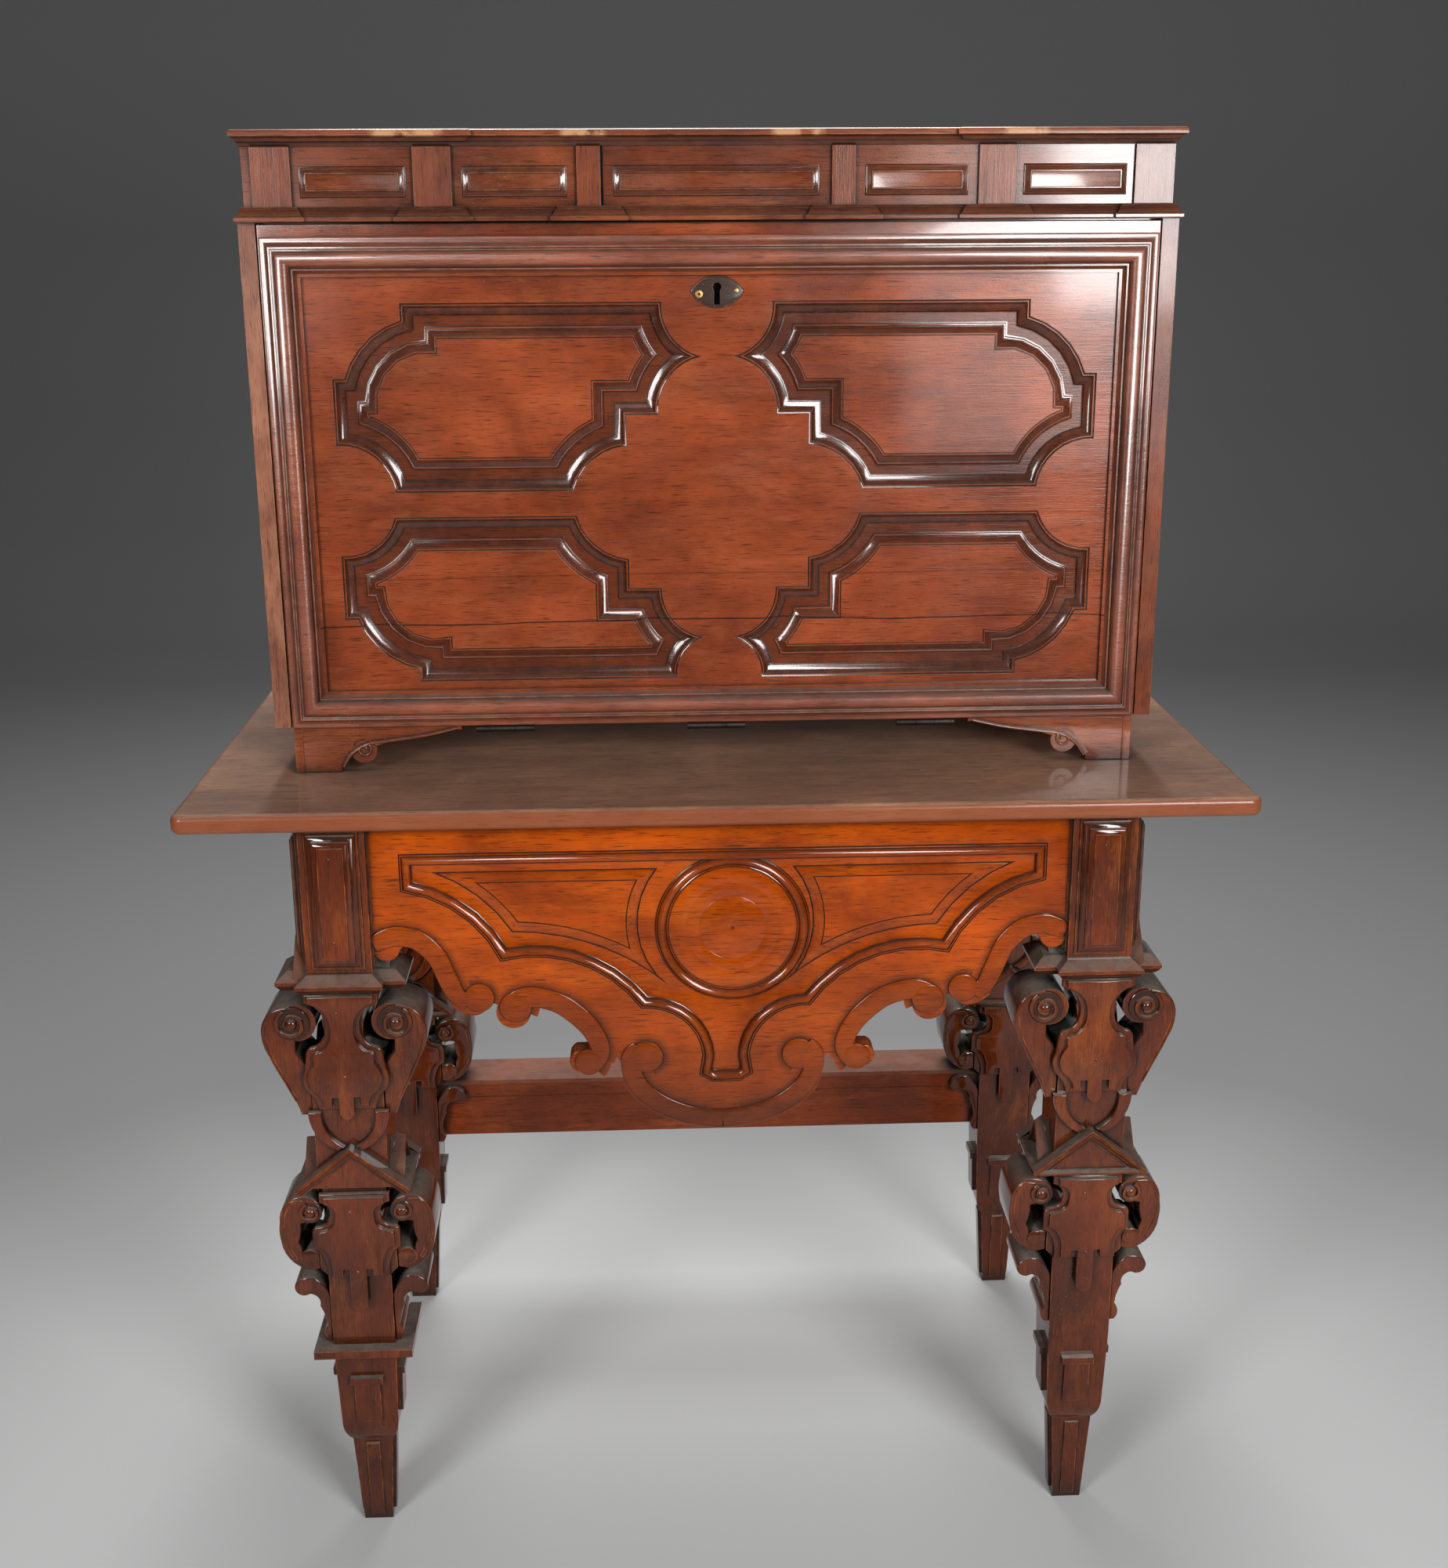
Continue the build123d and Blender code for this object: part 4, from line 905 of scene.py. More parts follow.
for drawn in (PANEL_UPPER, PANEL_LOWER):
    right = [(x, CASE_LOW + z, b) for x, z, b in drawn]
    for outline in (right, flipped(right)):
        islands.append(shifted(outline, FALL_MIDDLE))
print(len(islands), "shaped panels, the channel", CHANNEL[-1][0], "mm wide")

# %% the fall board
FALL_EDGE = rectangle(-481, 481, CASE_LOW, 1512.5)
FALL_OPENING = rectangle(-438, 438, 1007, 1458.5)
FALL_BACK = CASE_FRONT + 25
ARRIS = 1.2
fall = Shape()
opening, keyhole = traced(FALL_OPENING), traced(KEYHOLE)
run_moulding(fall, FALL_EDGE, round_edge(CASE_FRONT, FALL_BACK, ARRIS))
fall.flat([traced(inset(FALL_EDGE, ARRIS)), opening], CASE_FRONT)
fall.rings([[stood_up(u, v, w) for u, v in opening] for w in (CASE_FRONT, FIELD)])
fall.flat([opening] + [traced(island) for island in islands] + [keyhole], FIELD)
for island in islands:
    run_moulding(fall, island, CHANNEL, fill=True)
fall.rings([[stood_up(u, v, w) for u, v in keyhole] for w in (FIELD, FALL_BACK)])
fall.flat([traced(FALL_EDGE), keyhole], FALL_BACK)
make_piece("fall_board", fall, fall_wood, "fall_front", ["fall_panel"])

# %% the moulding round the fall
B = CASE_FRONT
BOLECTION = [(0, B), (0, B - 2.6, 0.1), (0.8, B - 3.2), (2.5, B - 3.4, 0.15), (5, B - 4, 0.4),
             (8, B - 5.6, 0.5), (9.6, B - 7.4, 0.4), (10, B - 9.4, 0.1), (11.6, B - 9.8),
             (12, B - 9, 0.85), (12.6, B - 9.2, 0.85), (13, B - 10.4), (14, B - 10.6),
             (14.4, B - 9.6, 0.95), (15.2, B - 10.4, 0.5), (16.5, B - 11.8, 0.2),
             (18, B - 12.8, 0.1), (21.5, B - 14), (25, B - 13.8), (28, B - 12.2, 0.15),
             (30.4, B - 9.4, 0.5), (31.6, B - 6.4, 0.9), (32, B - 5, 1), (32.4, B - 5, 0.8),
             (32.6, B - 5.8), (34, B - 5.8), (34.4, B - 4.6, 0.75), (35.2, B - 3, 0.5),
             (37, B - 0.6, 0.35), (39, B + 1.2, 0.3), (40.2, B + 2, 0.5), (40.4, B + 3.2, 0.95),
             (41, FIELD)]
FRAME_OUTSIDE = rectangle(-479, 479, CASE_LOW, 1499.5)
frame_moulding = Shape()
run_moulding(frame_moulding, FRAME_OUTSIDE, BOLECTION)
make_piece("fall_frame", frame_moulding, frame_wood, "fall_front", ["fall_moulding"])

# %% [markdown]
# ## Lock plate and nails
#
# The plate round the keyhole is thin iron under old lacquer, worn bright at its rim. Its
# two brass nails don't match: a broad one with a pierced head and a small plain one.

# %% lock plate
PLATE_HALF, PLATE_RISE, PLATE_THICK = 28.5, 16.5, 1.6
plate_face = FIELD - PLATE_THICK
oval = [(KEY_X - PLATE_HALF, KEY_Z, 0.28), (KEY_X, KEY_Z + PLATE_RISE, 0.28),
        (KEY_X + PLATE_HALF, KEY_Z, 0.28), (KEY_X, KEY_Z - PLATE_RISE, 0.28)]
plate = Shape()
carved_plate(plate, oval, plate_face, FIELD, 0.7, holes=[KEYHOLE])
plate.rings([[stood_up(u, v, w) for u, v in keyhole] for w in (plate_face, FIELD)])
make_piece("lock_plate", plate, plate_lacquer, "fall_front", ["escutcheon"])

# %% its two nails
PIERCED_HEAD = [(4.6, 0), (4.5, -0.5), (3.9, -1.0), (2.4, -1.2), (1.3, -1.2, 0.2), (1.1, -0.5, 1.0),
                (0.1, -0.4, 1.0)]
SMALL_HEAD = [(2.9, 0), (2.8, -0.4, 0.7), (2.2, -1.0), (0.3, -1.3)]


def seated(profile, face):
    """A profile drawn from zero, set on a face."""
    return [(row[0], face + row[1]) + row[2:] for row in profile]


studs = Shape()
boss(studs, KEY_X - 19.3, KEY_Z - 2.5, seated(PIERCED_HEAD, plate_face))
boss(studs, KEY_X + 20.7, KEY_Z + 1, seated(SMALL_HEAD, plate_face), 16)
make_piece("lock_plate_nails", studs, brass, "fall_front", ["escutcheon_nails"])

# %% [markdown]
# ## The apron
#
# The apron hangs between the front posts. Its lower edge is pierced into scrolls that end
# in round buttons, each with a painted shadow beside it, a dark strip on the flat face.
# A polished bead wanders above them. Inside the bead lie two raised triangular fields and
# a turned ring, all marked out by eye and so set a few millimetres off the middle of the
# board. The edge is drawn as one half and mirrored; heights are given as the distance
# down from the table.

# %% drawings of the apron
APRON_EDGE = [
    (386, 0, 0), (386, 146, 0.85), (356, 146, 0), (350, 140, -0.28),
    (322, 162, 0), (302, 214, 0.2), (276, 226, 0.38), (259, 207, 0.15), (255, 196, 0),
    (251, 215, 1.1), (215, 228, 0), (213, 216, -0.14), (170, 229, -0.29), (148, 262, 0),
    (152, 272, 0), (164, 272, 0.8), (160, 298, 0.31), (132, 291, 0), (121, 280, 0),
    (114, 286, 0.15), (107, 324, 0.13), (66, 356, 0.13), (0, 370, 0)]
APRON_BEAD = [
    (356, 34, 0), (356, 78, -0.264), (250, 162, -0.325), (95, 222, -0.42),
    (27, 279, 0), (31, 304, 0), (16, 313, 0)]
APRON_FIELD = [(74, 56, 0), (322, 56, -0.17), (236, 128, -0.185), (64, 195, -0.40)]
APRON_MIDDLE = 4
A = APRON_FRONT
BEAD = [(0, A), (0.3, A + 1, 0.95), (1.2, A + 1, 0.9), (1.5, A - 0.6, 0.3), (2.6, A - 1, 0.2),
        (3, A - 0.2, 0.95), (3.4, A - 0.4, 0.9), (4.2, A - 2.6, 0.5), (6, A - 4.4, 0.4),
        (8.2, A - 5, 0.35), (10.4, A - 4.2, 0.4), (12, A - 2.2, 0.65), (12.8, A + 0.2, 0.95),
        (13.4, A + 1.6, 1), (14.2, A + 2, 0.5), (15, A + 2.2)]
RAISED_MARGIN = [(0, A + 2.2), (0.3, A + 3.2, 0.95), (1.2, A + 3.2, 0.95), (1.6, A + 2, 0.4),
                 (4, A + 1.2, 0.2), (8, A + 0.4, 0.15), (11, A - 0.2, 0.1), (12.2, A - 0.3, 0.3),
                 (12.5, A + 0.6, 0.95), (13.2, A + 0.6, 0.9), (13.6, A - 0.2), (14.5, A - 0.2)]
print("the apron hangs", max(down for _, down, _ in APRON_EDGE), "mm below the table")

# %% the apron board, its bead and its fields
BEAD_WIDTH = BEAD[-1][0]
apron = Shape()
board = both_sides(hung(APRON_EDGE, TABLE_UNDER))
bead = shifted(both_sides(hung(APRON_BEAD, TABLE_UNDER)), APRON_MIDDLE)
carved_plate(apron, board, APRON_FRONT, APRON_BACK, 1.6, holes=[bead])
run_moulding(apron, bead, BEAD)
one_field = hung(APRON_FIELD, TABLE_UNDER)
fields = [shifted(one_field, APRON_MIDDLE), shifted(flipped(one_field), APRON_MIDDLE)]
inside_bead = trace(inset(bead, BEAD_WIDTH), arc_steps(bead))
apron.flat([inside_bead] + [traced(field) for field in fields], BEAD[-1][1])
for field in fields:
    run_moulding(apron, field, RAISED_MARGIN, fill=True)
print("apron so far:", len(apron.faces), "faces")

# %% the apron's ring and scroll bands
RING_X, RING_Z = 12, TABLE_UNDER - 127
RING = [
    (87, A + 2.6), (86.4, A + 2, 0.95), (85.6, A + 1.6, 0.9), (85.2, A + 0.2, 0.35),
    (84.4, A - 0.4, 0.3), (84, A + 0.4, 0.95), (83.4, A - 0.6, 0.6), (81.5, A - 2.8, 0.4),
    (79, A - 3.6, 0.35), (76.5, A - 2.8, 0.4), (74.6, A - 0.8, 0.65), (74, A + 0.6, 1),
    (73.4, A + 0.2, 0.4), (72.4, A - 0.2, 0.2), (71.8, A + 0.8, 0.95), (71, A + 0.8, 0.8),
    (70, A + 0.4), (52.4, A + 0.4), (52, A + 0.5, 0.3), (51.6, A + 0.4), (37.4, A + 0.4),
    (37, A + 0.6, 0.5), (36.6, A + 0.4), (2.4, A + 0.4), (1.8, A + 0.5, 0.8), (0.5, A + 0.6, 0.8)]
boss(apron, RING_X, RING_Z, RING, around=96)
SCROLL_BANDS = [
    [(384, 138, 18), (374, 133, 22), (362, 129, 23), (349, 130, 23), (336, 134, 23),
     (325, 143, 23), (315, 155, 22), (308, 172, 22), (302, 187, 22), (295, 201, 20),
     (284, 211, 18)],
    [(236, 214, 18), (229, 207, 22), (215, 204, 24), (198, 207, 24), (180, 214, 24),
     (162, 228, 24), (148, 244, 23), (139, 262, 22), (138, 276, 20), (144, 288, 18)],
    [(95, 268, 16), (103, 277, 20), (104, 292, 22), (99, 308, 22), (88, 324, 22), (66, 341, 22),
     (34, 354, 22), (0, 359, 22)]]
print("the ring is", 2 * RING[0][0], "mm across,", len(SCROLL_BANDS), "bands a side")

# %% scrolls along the edge
# A button is (x, distance down, radius) and the two angles between which its painted shadow runs.
BUTTONS = [(271, 204, 17, 30, 205), (231, 216, 18, 55, 210), (151, 285, 16, 130, 230),
           (86, 280, 19, 55, 250)]
scrolls = Shape()
for knots in SCROLL_BANDS:
    path = smooth_path([(x, TABLE_UNDER - down, width) for x, down, width in knots])
    ridge(scrolls, path, A + 1, 3.6, squareness=0.3, around=12, foot=0.8, crown=0.28)
    # A painted shadow beside each band: a dark strip on the flat face.
    shadow_strip(scrolls, path[:-4], -1, A - 0.15, 10)
for x, down, radius, first, last in BUTTONS:
    z = TABLE_UNDER - down
    boss(scrolls, x, z, [(radius, A + 1, 0.8), (radius, A - 1, 0.6), (radius - 0.8, A - 2.3, 0.2),
                         (radius - 2.5, A - 2.9, 0.3), (radius - 5, A - 3.1, 0.3), (0.5, A - 3.2, 0.2)])
    # A painted shadow round each button.
    shadow_arc(scrolls, x, z, radius - 1, A - 0.12, 10, last, first)
apron.merge(scrolls)
apron.merge(scrolls, mirror=True)
make_piece("apron", apron, apron_wood, "stand_and_case", ["apron_front"])

# %% [markdown]
# ## One leg, drawn once
#
# A leg is a square core dressed on all sides. Two tiers of shields hang on the front and
# back, C-scrolls and outward scrolls stand at the sides, and each tier is capped by a thin
# plate with a small pediment. Drawing the dress once round an axis at the origin and
# setting it down at four corners is how the joiner worked too: the parts are repeats,
# and what differs between the legs is only what has broken off.

# %% drawings of the shields
SHIELD_UPPER = [
    (0, 2, 0), (36, 2, 0), (36, 10, -0.36), (13, 38, -0.3), (26, 68, 0.3), (34, 72, 0),
    (33, 82, 0), (38.5, 90, 0.35), (34, 116, -0.2), (25, 130, 0), (25, 134, 0), (16, 134, 0),
    (16, 123, 0), (8.5, 123, 0), (8.5, 143, 0.2), (0, 152, 0)]
SHIELD_UPPER_BACK = [
    (0, 1, 0), (41, 1, 0), (41, 11, -0.36), (19, 39, -0.3), (33, 64, 0.3), (42, 70, 0),
    (45, 92, 0.35), (41, 120, -0.2), (32, 140, 0), (0, 140, 0)]
SHIELD_LOWER = [
    (0, 3, 0), (34, 3, 0), (34, 11, -0.45), (22, 27, -0.4), (38, 46, 0.3), (44, 50, 0),
    (44, 64, 0), (37, 68, -0.2), (29, 96, 0), (29, 104, 0), (17, 104, 0), (17, 95, 0),
    (9.5, 95, 0), (9.5, 143, 0.2), (0, 151, 0)]
SHIELD_LOWER_BACK = [
    (0, 1, 0), (40, 1, 0), (40, 12, -0.45), (29, 28, -0.4), (44, 43, 0.3), (50, 48, 0),
    (50, 70, 0), (43, 74, -0.2), (36, 108, 0), (0, 108, 0)]
LAYER = 6
print("each shield is two layers of", LAYER, "mm")

# %% shields on the front and back
NAIL = 1.6


def nail(shape, x, z, y):
    head = [(NAIL, y, 1.0), (NAIL * 0.9, y - 0.7, 0.9), (NAIL * 0.5, y - 1.1, 0.5)]
    boss(shape, x, z, head, around=12)


shields = Shape()
for turn in (0, 180):
    side = Shape()
    for level, front_layer, back_layer in ((CAPITAL, SHIELD_UPPER, SHIELD_UPPER_BACK),
                                           (MID_PLATE, SHIELD_LOWER, SHIELD_LOWER_BACK)):
        middle, face = -POST_HALF - LAYER, -POST_HALF - 2 * LAYER
        carved_plate(side, both_sides(hung(back_layer, level)), middle, -POST_HALF, 1.8)
        carved_plate(side, both_sides(hung(front_layer, level)), face, middle, 1.2)
        nail(side, -5, level - 21, face)
        nail(side, 0, level - 98, face)
    shields.merge(side, turn)
print("shields of one leg:", len(shields.faces), "faces")

# %% [markdown]
# ## Scroll brackets
#
# Each scroll is sawn from a thick board and rounded on both faces, which one drawing with
# a rounded edge gives. Its rolled end is carved on the flat face: a ridge that winds in to
# a polished eye. A rim along the outer curve makes the flat look hollowed, as it would be
# with a gouge, and needs no cutting of the mesh.

# %% drawings of the scroll brackets
BRACKET_UPPER = [
    (40, 150, 0), (40, 92, 0), (55, 74, 0), (55, 60, 1.25), (59, 18, 0.12), (82, 26, 0.22),
    (92, 50, 0.12), (86, 76, -0.06), (69, 110, -0.04), (53, 150, 0)]
SCROLL_LOWER = [
    (44, 100, 0), (44, 77, 0.2), (58, 76, 0), (64, 82, 0.15), (68, 66, 0.12), (64, 42, 0),
    (58, 41, 0.9), (47, 12, 0.2), (70, 9, 0.3), (88, 40, 0.1), (88, 64, 0.3), (60, 102, 0.15)]
SCROLL_FOOT = [
    (36, 197, 0), (36, 136, 0.15), (52, 113, 0.3), (74, 118, 0.9), (60, 134, -0.5), (49, 150, -0.1),
    (42, 174, -0.3), (43, 178, 0.4), (42, 197, 0)]
TAIL = [(30, 143, 0), (45, 143, 0.3), (14, 192, 0), (6, 187, -0.3)]
BRACKET_HALF = 34
UPPER_RIM = [(62, 680, 3.4), (78, 675, 3.6), (88, 660, 3.8), (88, 640, 3.6), (80, 616, 3.2), (68, 590, 3),
             (58, 568, 2.6)]
LOWER_RIM = [(60, 441, 3), (74, 440, 3.2), (83, 425, 3.4), (85, 405, 3.4), (82, 388, 3.2), (72, 367, 3)]
print("the brackets are", 2 * BRACKET_HALF, "mm thick")


# %% scrolls and volutes
def thick_scroll(shape, outline, front, back, radius=2.2):
    """A sawn scroll, rounded on both faces."""
    ahead = round_edge(front, back, radius)[1:]
    behind = [(inwards, front + back - y) for inwards, y in ahead]
    run_moulding(shape, outline, behind[::-1] + ahead)
    face = trace(inset(outline, radius), arc_steps(outline))
    shape.flat([face], front)
    shape.flat([face], back)


def volute(shape, x, z, radius, y, start, hand, turns=1.5):
    """A rolled scroll end carved on a face: a winding ridge and a polished eye."""
    boss(shape, x, z, [(radius - 1, y + 0.2), (radius - 1.4, y - 0.1, 0.85), (1, y - 0.1, 0.85)], around=24)
    winding = spiral(x, z, radius - 2.4, 5, start, turns, 5.5, 3.6, hand=hand)
    ridge(shape, winding, y + 0.6, 3.6, 0.6, foot=1.0, crown=0.05)
    eye = [(6.4, y + 0.4, 1.0), (6.2, y - 1.8, 0.7), (5, y - 3.6, 0.1), (2.8, y - 4.6), (0.6, y - 4.9)]
    boss(shape, x, z, eye, around=18)


def bracket_carving(y):
    """What is carved on the face of one side's brackets."""
    made = Shape()
    volute(made, 57.5, 661, 21, y, 60, -1)
    volute(made, 52, 427, 14.5, y, 70, -1, 1.2)
    boss(made, 56, 369, [(11, y), (10.6, y - 1.6), (8.5, y - 2.6), (0.6, y - 2.9)], around=20)
    ridge(made, smooth_path(UPPER_RIM), y + 0.4, 1.6)
    ridge(made, smooth_path(LOWER_RIM), y + 0.4, 1.4)
    return made


faces = bracket_carving(-BRACKET_HALF)
print("carving on one face of a pair of brackets:", len(faces.faces), "faces")


# %% all the scrolls of one leg
def leg_scrolls(foot_back_left, foot_back_right):
    both = Shape()
    for mirror, foot_back in ((True, foot_back_left), (False, foot_back_right)):
        side = Shape()
        thick_scroll(side, hung(BRACKET_UPPER, CAPITAL), -BRACKET_HALF, BRACKET_HALF)
        thick_scroll(side, hung(SCROLL_LOWER, MID_PLATE), -BRACKET_HALF, BRACKET_HALF, 1.8)
        thick_scroll(side, hung(SCROLL_FOOT, MID_PLATE), -BRACKET_HALF, foot_back, 2)
        side.merge(faces)
        side.merge(faces, 180, mirror=True)
        for turn in (0, 180):
            tail = Shape()
            carved_plate(tail, hung(TAIL, CAPITAL), -POST_HALF - 7, -POST_HALF, 2)
            side.merge(tail, turn, mirror=(turn == 180))
        both.merge(side, mirror=mirror)
    return both


print("a leg's scrolls, whole:", len(leg_scrolls(BRACKET_HALF, BRACKET_HALF).faces), "faces")

# %% [markdown]
# ## Pediments and plates
#
# Each tier ends in a thin plate with little gables above it. A gable is one moulding that
# climbs, turns at the top and comes down again, so it is a run along three points with a
# mitre, over a plain triangular field. The plates are run the same way round an outline
# seen from above.

# %% pediments and gables
P = -POST_HALF
RAKING = [(0, P), (0, P - 14), (0.6, P - 16.4), (3.4, P - 17), (4.2, P - 16, 0.3),
          (4.4, P - 14.6, 0.9), (5.2, P - 13.4, 0.8), (5.6, P - 12.8, 0.2), (7.4, P - 12, 0.35),
          (10.4, P - 10, 0.6), (10.8, P - 9.6, 0.2), (11.8, P - 9.4), (12.1, P - 8.2, 0.95),
          (13, P - 8, 0.4)]
BAR = RAKING[-1][0]


def pediment(half_span, height, face, bar=BAR):
    """Two raking bars mitred at the top over a plain field; face is the wall's distance."""
    made = Shape()
    shift = POST_HALF - face
    profile = [(row[0] * bar / BAR, row[1] + shift) for row in RAKING]
    rings = follow([(-half_span, 0), (0, height), (half_span, 0)], profile)
    made.rings(rings, closed=False, patina=shades(RAKING))
    for end in (0, -1):
        made.add([ring[end] for ring in rings] + [(rings[0][end][0], -face, rings[-1][end][2])],
                 [tuple(range(len(rings) + 1))])
    made.flat([[(-half_span + 4, 0), (0, height - 4), (half_span - 4, 0)]], -face - 8)
    return made


print("a pediment has", len(pediment(66, 52, POST_HALF).faces), "faces")


# %% the thin plates between the tiers
def plan_cross(nose_half, nose, wing_half, wing):
    """The outline of a plate seen from above, with a nose at the front and back."""
    corners = [(-nose_half, -nose), (-nose_half, -wing), (-wing_half, -wing), (-wing_half, wing),
               (-nose_half, wing), (-nose_half, nose), (nose_half, nose), (nose_half, wing),
               (wing_half, wing), (wing_half, -wing), (nose_half, -wing), (nose_half, -nose)]
    return [(x, y, 0) for x, y in corners]


def thin_plate(shape, outline, low, high, slope):
    """A shelf with a hollow under its lip and a sloping top that sheds dust badly."""
    thick = high - low
    # The underside of the lip is painted dark: painted shade under it.
    profile = [(9, low, 0.9), (6, low + 0.4, 0.8), (3, low + thick * 0.3, 0.6), (1, low + thick * 0.55, 0.6),
               (0, low + thick * 0.6, 0.1), (0, high - 0.8), (0.8, high), (slope[0], high + slope[1], 0.15)]
    run_moulding(shape, outline, profile, laid_flat, fill=True)
    shape.flat([trace(inset(outline, 9), [1] * len(outline))], low, laid_flat)


def leg_caps(mid_front_kept, inner_side):
    """Both plates with their pediments; the gable that faces the apron is a low one."""
    made = Shape()
    thin_plate(made, plan_cross(48, 51, 72, 36), CAPITAL, POST, (12, 9))
    front_edge = -51 if mid_front_kept else -37
    mid = [(-66, front_edge, 0), (-66, 51, 0), (66, 51, 0), (66, front_edge, 0)]
    thin_plate(made, mid, MID_PLATE, UPPER_TIER, (4, 1.5))
    front = pediment(66, 52, POST_HALF)
    for turn in (0, 180):
        made.merge(front, turn, (0, 0, UPPER_TIER))
    for turn in (90, 270):
        height, bar = (17, 8) if (turn == 90) == (inner_side > 0) else (44, BAR)
        made.merge(pediment(35, 44, 40), turn, (0, 0, UPPER_TIER))
        made.merge(pediment(35, height, POST_HALF, bar), turn, (0, 0, POST))
    return made


print("the caps of a leg:", len(leg_caps(True, 1).faces), "faces")

# %% [markdown]
# ## Raised panels on the posts
#
# Above its capital the post is plain and square. Each face gets a raised panel, whose
# stepped margin is one profile run round a rectangle, and two nail heads.

# %% raised panels on the posts
POST_STEPS = [(0, P), (0.3, P - 0.2, 0.95), (0.8, P - 0.2, 0.9), (1, P - 2), (3.4, P - 2.2),
              (3.8, P - 2.4, 0.95), (4.4, P - 4.4, 0.6), (7.4, P - 6.6, 0.45), (9.6, P - 7.4, 0.6),
              (9.9, P - 7.6, 0.95), (10.2, P - 9.4, 0.2), (13.6, P - 11.4, 0.3),
              (15.4, P - 12, 0.6), (15.7, P - 12, 0.9), (16, P - 12.8), (19.6, P - 13)]


def post_panels():
    made = Shape()
    for turn in (0, 90, 180, 270):
        face = Shape()
        run_moulding(face, rectangle(-30, 30, 726, 886), POST_STEPS, fill=True)
        for level in (858, 762):
            nail(face, -2, level, POST_STEPS[-1][1])
        made.merge(face, turn)
    return made


panels = post_panels()
print("panels of one post:", len(panels.faces), "faces")

# %% [markdown]
# ## Setting the legs down
#
# The dressed leg is copied to the four corners. The front left one has lost the front of
# its middle plate, and the foot scrolls of the rear legs are cut back where the
# stretcher passes.

# %% four legs
LEGS = [("leg_front_left", -1, -1, False), ("leg_front_right", 1, -1, True),
        ("leg_rear_left", -1, 1, True), ("leg_rear_right", 1, 1, True)]
BESIDE_STRETCHER = -23


def set_down(name, drawn, x_side, y_side, stands_for=()):
    made = Shape()
    made.merge(drawn, 0, (x_side * LEG_X, y_side * LEG_Y, 0))
    make_piece(name, made, leg_wood, "stand_and_case", stands_for)


for name, x_side, y_side, mid_kept in LEGS:
    left = BESIDE_STRETCHER if (y_side > 0 and x_side > 0) else BRACKET_HALF
    right = BESIDE_STRETCHER if (y_side > 0 and x_side < 0) else BRACKET_HALF
    for part, drawn in (("_shields", shields), ("_scrolls", leg_scrolls(left, right)),
                        ("_pediments", leg_caps(mid_kept, -x_side))):
        set_down(name + part + "_carved", drawn, x_side, y_side, [name + part])
    set_down(name + "_post_panels", panels, x_side, y_side)

# %% [markdown]
# ## The box lid
#
# The lid's front is a little architrave: pilasters and raised panels between a base
# moulding and a cornice. The base steps forward over each pilaster. A moulding that steps
# forward is a run with many small mitres, so it is laid along a path seen from above.

# %% frieze panels
L = LID_FRONT
RAISED = [(0, L), (0.3, L - 0.2, 0.95), (1, L - 0.3, 0.95), (1.2, L - 1.8, 0.4), (2, L - 2.2, 0.1),
          (3, L - 2.6, 0.6), (5, L - 4, 0.5), (6.5, L - 4.6, 0.7), (6.8, L - 5.8, 0.1),
          (8, L - 5.8), (8.3, L - 5, 0.9), (9.2, L - 4.8)]
BAYS = [(326, 437), (157.5, 267.5), (-109, 109), (-267.5, -157.5), (-437, -326)]
lid_panels = Shape()
for near, far in BAYS:
    bay = rectangle(FALL_MIDDLE + near, FALL_MIDDLE + far, LID_LOW + 24, LID_LOW + 56)
    run_moulding(lid_panels, bay, RAISED, fill=True)
make_piece("frieze_panels", lid_panels, case_wood, "box_lid", ["lid_panels"])


# %% paths seen from above
END_BREAK, MIDDLE_BREAK, INNER_BREAK = 469, 298, 134.5
HALF_BREAK = 32
BREAKS = [side * END_BREAK for side in (-1, 1)]
BREAKS += [FALL_MIDDLE + side * centre for centre in (MIDDLE_BREAK, INNER_BREAK) for side in (-1, 1)]


def true_corners(path):
    """The path without doubled points and without points in the middle of a straight run."""
    clean = []
    for point in path:
        if not clean or hypot(point[0] - clean[-1][0], point[1] - clean[-1][1]) > 0.5:
            clean.append(point)
    corners = [clean[0]]
    for before, here, after in zip(clean, clean[1:], clean[2:]):
        ux, uy = here[0] - before[0], here[1] - before[1]
        vx, vy = after[0] - here[0], after[1] - here[1]
        if abs(ux * vy - uy * vx) > 1e-6:
            corners.append(here)
    return corners + [clean[-1]]


def stepped_path(breaks, reach):
    """Round the lid from back to back, stepping out by reach over each pilaster."""
    path = [(-LID_HALF, CASE_BACK), (-LID_HALF, LID_FRONT)]
    for centre in sorted(breaks):
        lo, hi = max(centre - HALF_BREAK, -LID_HALF), min(centre + HALF_BREAK, LID_HALF)
        path += [(lo, LID_FRONT), (lo, LID_FRONT - reach), (hi, LID_FRONT - reach), (hi, LID_FRONT)]
    return true_corners(path + [(LID_HALF, LID_FRONT), (LID_HALF, CASE_BACK)])


print("the stepped path has", len(stepped_path(BREAKS, 6)), "corners")

# %% base moulding and cornice
BASE = [(0, 1514.6), (8, 1514.6), (9, 1515.6), (9, 1518.4), (8.2, 1519.6), (7.4, 1519.8, 0.95),
        (6.4, 1520.6, 0.5), (4.8, 1523, 0.5), (3.8, 1525.8, 0.7), (3.4, 1526.6, 0.95), (3.2, 1527),
        (2, 1527.4), (1.8, 1527.8, 0.95), (1.6, 1529, 0.5), (1.4, 1529.5), (0, 1529.5)]
CORNICE = [(0, 1589.6), (1.2, 1589.8, 0.8), (1.6, 1591, 0.6), (2.6, 1593, 0.6), (3, 1594.4, 0.9),
           (0, 1594.4)]


def lid_run(name, path, profile, stands_for):
    made = Shape()
    made.rings(follow(path, profile, laid_flat), closed=False, patina=shades(profile))
    make_piece(name, made, case_wood, "box_lid", stands_for)


